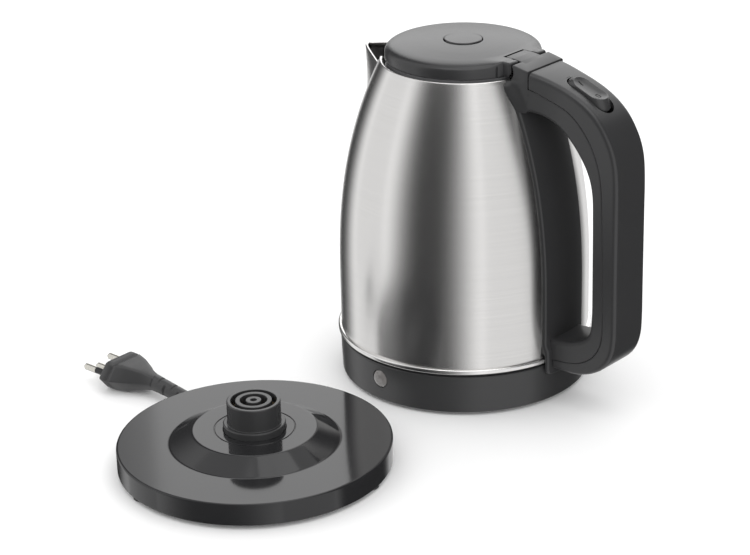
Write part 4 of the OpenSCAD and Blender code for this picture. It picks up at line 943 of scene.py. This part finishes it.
def mark(name, outline, stroke, at):
    """A printed ring: an outline and the same outline moved in by the stroke,
    laid a hair above the dished top, at a place along it."""
    inset = np.array([0, 0, stroke, stroke])[:, None, None]
    ring = outline[None] - outward_normals(outline)[None] * inset + (at, 0)
    high = rocker_top(ring[..., 0], ring[..., 1]) + np.array([-0.1, 0.05, 0.05, -0.1])[:, None]
    return skin(name, at_rocker(ring[..., 0], ring[..., 1], high), round_rows=True, round_cols=True)


off_line = rounded([(-1.8, -1.3, 1), (1.8, -1.3, 1), (1.8, 1.3, 1), (-1.8, 1.3, 1)])
on_line = rounded([(-2, -0.42, 0.3), (2, -0.42, 0.3), (2, 0.42, 0.3), (-2, 0.42, 0.3)])
off_mark = mark("off_mark", off_line, 0.62, 4.6)
on_mark = mark("on_mark", on_line, 0.4, -8.5)
mark_ink = plastic("mark_black", (0.004, 0.004, 0.004), 0.6, mottle=0.05)
for piece in (off_mark, on_mark):
    piece.data.materials.append(mark_ink)
    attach(piece, "switch_rocker")

# ---------------------- lid
# The lid is a shallow black dome with two hinge ears behind. Its grey liner
# carries a silicone seal and the two latches that the round button draws in.
lid_profile = np.array([
    (12.6, 207.42), (16, 207.28), (20, 207.1), (25, 206.8), (30, 206.4), (34, 206.05), (38, 205.65),
    (41.2, 205.1), (43.6, 204.25), (45.2, 203.0), (46.0, 201.4), (46.2, 199.6), (46.2, 197.6)])
lid_dome = even_path(lid_profile[:, [0, 1, 1]] * (1, 1, 0), 0.5)[:, :2]
lid_under = np.array([
    (46.05, 197.05), (45.7, 196.8), (44.2, 196.8), (44, 197), (44, 200.8), (43.4, 202), (42, 202.8),
    (38, 203.6), (30, 204.3), (14, 204.9), (13.6, 204.7), (13.6, 199.2), (13.4, 199), (11.8, 199),
    (11.6, 199.2), (11.6, 206.9), (11.75, 207.25), (12.1, 207.4)])
lid_shell = turned("lid_shell", np.vstack([lid_dome, lid_under]), kettle_at, steps=192)


def swell(mesh):
    """Squares the dome's edge near the hinge, so that the ears grow out of it:
    its top rises towards a flat with a 1.5 mm fillet, by an even S in x and y."""
    place = np.empty(len(mesh.vertices) * 3)
    mesh.vertices.foreach_get("co", place)
    place = (place.reshape(-1, 3) - kettle_at) * 1000
    reach = np.hypot(place[:, 0], place[:, 1])
    flat = 204.45 + np.sqrt(np.clip(1.5 ** 2 - np.clip(reach - 44.7, 0, None) ** 2, 0, None))
    near = smooth_step(place[:, 0], 24, 42) * (1 - smooth_step(np.abs(place[:, 1]), 16, 27))
    top = (reach > 44.05) & (place[:, 2] > 199) | (place[:, 2] > 203.7 + (42 - reach) * 0.13)
    place[:, 2] += np.where(top, near * np.clip(flat - place[:, 2], 0, None), 0)
    mesh.vertices.foreach_set("co", (place / 1000 + kettle_at).ravel())
    mesh.update()


swell(lid_shell.data)
swing = np.linspace(0, 2 * np.pi, 48, endpoint=False)
tongue_round = np.stack([hinge_x + 8.2 * np.cos(swing), hinge_z + 8.2 * np.sin(swing)], -1)
back_line = rounded([(hinge_x, 190, 0.1), (56, 190, 0.1), (56, 215, 0.1), (hinge_x, 215, 0.1)])
groove_line = rounded([(41, 194, 0.1), (41.6, 194, 0.1), (41.6, 204.6, 0.2), (41, 204.6, 0.2)])
cut(lid_shell, prism("tongue_notch", tongue_round, -9.1, 9.1, 0.05, sideways))
cut(lid_shell, prism("back_notch", back_line, -17.5, 17.5, 0.05, sideways))
for low in (-21.6, 20.3):
    cut(lid_shell, prism("ear_groove", groove_line, low, low + 1.3, 0.05, sideways))
ear_line = rounded([
    (40.5, 204, 0.4), (40.5, 198, 0.6), (44, 196.75, 2.5), (48.1, 198.6, 3.6), (48.1, 205.95, 1.6),
    (40.5, 205.9, 0.3)])
ears = [prism("ear_front", ear_line, 9.1, 17, 0.9, sideways),
        prism("ear_back", ear_line, -17, -9.1, 0.9, sideways)]
lid_black = plastic("lid_black", (0.026, 0.026, 0.027), 0.26, grain=0.1, grain_size=1800, mottle=0.12)
for piece in (lid_shell, *ears):
    piece.data.materials.append(lid_black)
    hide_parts("lid_top")
    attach(piece, "lid")
button = turned("button_cap", rounded([
    (0, 197.5, 0), (4.7, 197.5, 0.5), (5, 205.3, 0.2), (11.2, 205.3, 0.3), (11.2, 208.0, 0.8),
    (0, 208.38, 0)]), kettle_at, steps=96)
button.data.materials.append(lid_black)
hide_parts("lid_button")
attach(button, "button")
dress(plastic("liner_grey", (0.16, 0.16, 0.165), 0.45, grain=0.3), "lid_liner", "latch_front", "latch_rear")
dress(plastic("seal_silicone", (0.5, 0.5, 0.5), 0.6), "lid_seal")
dress(screw_steel, "button_spring")
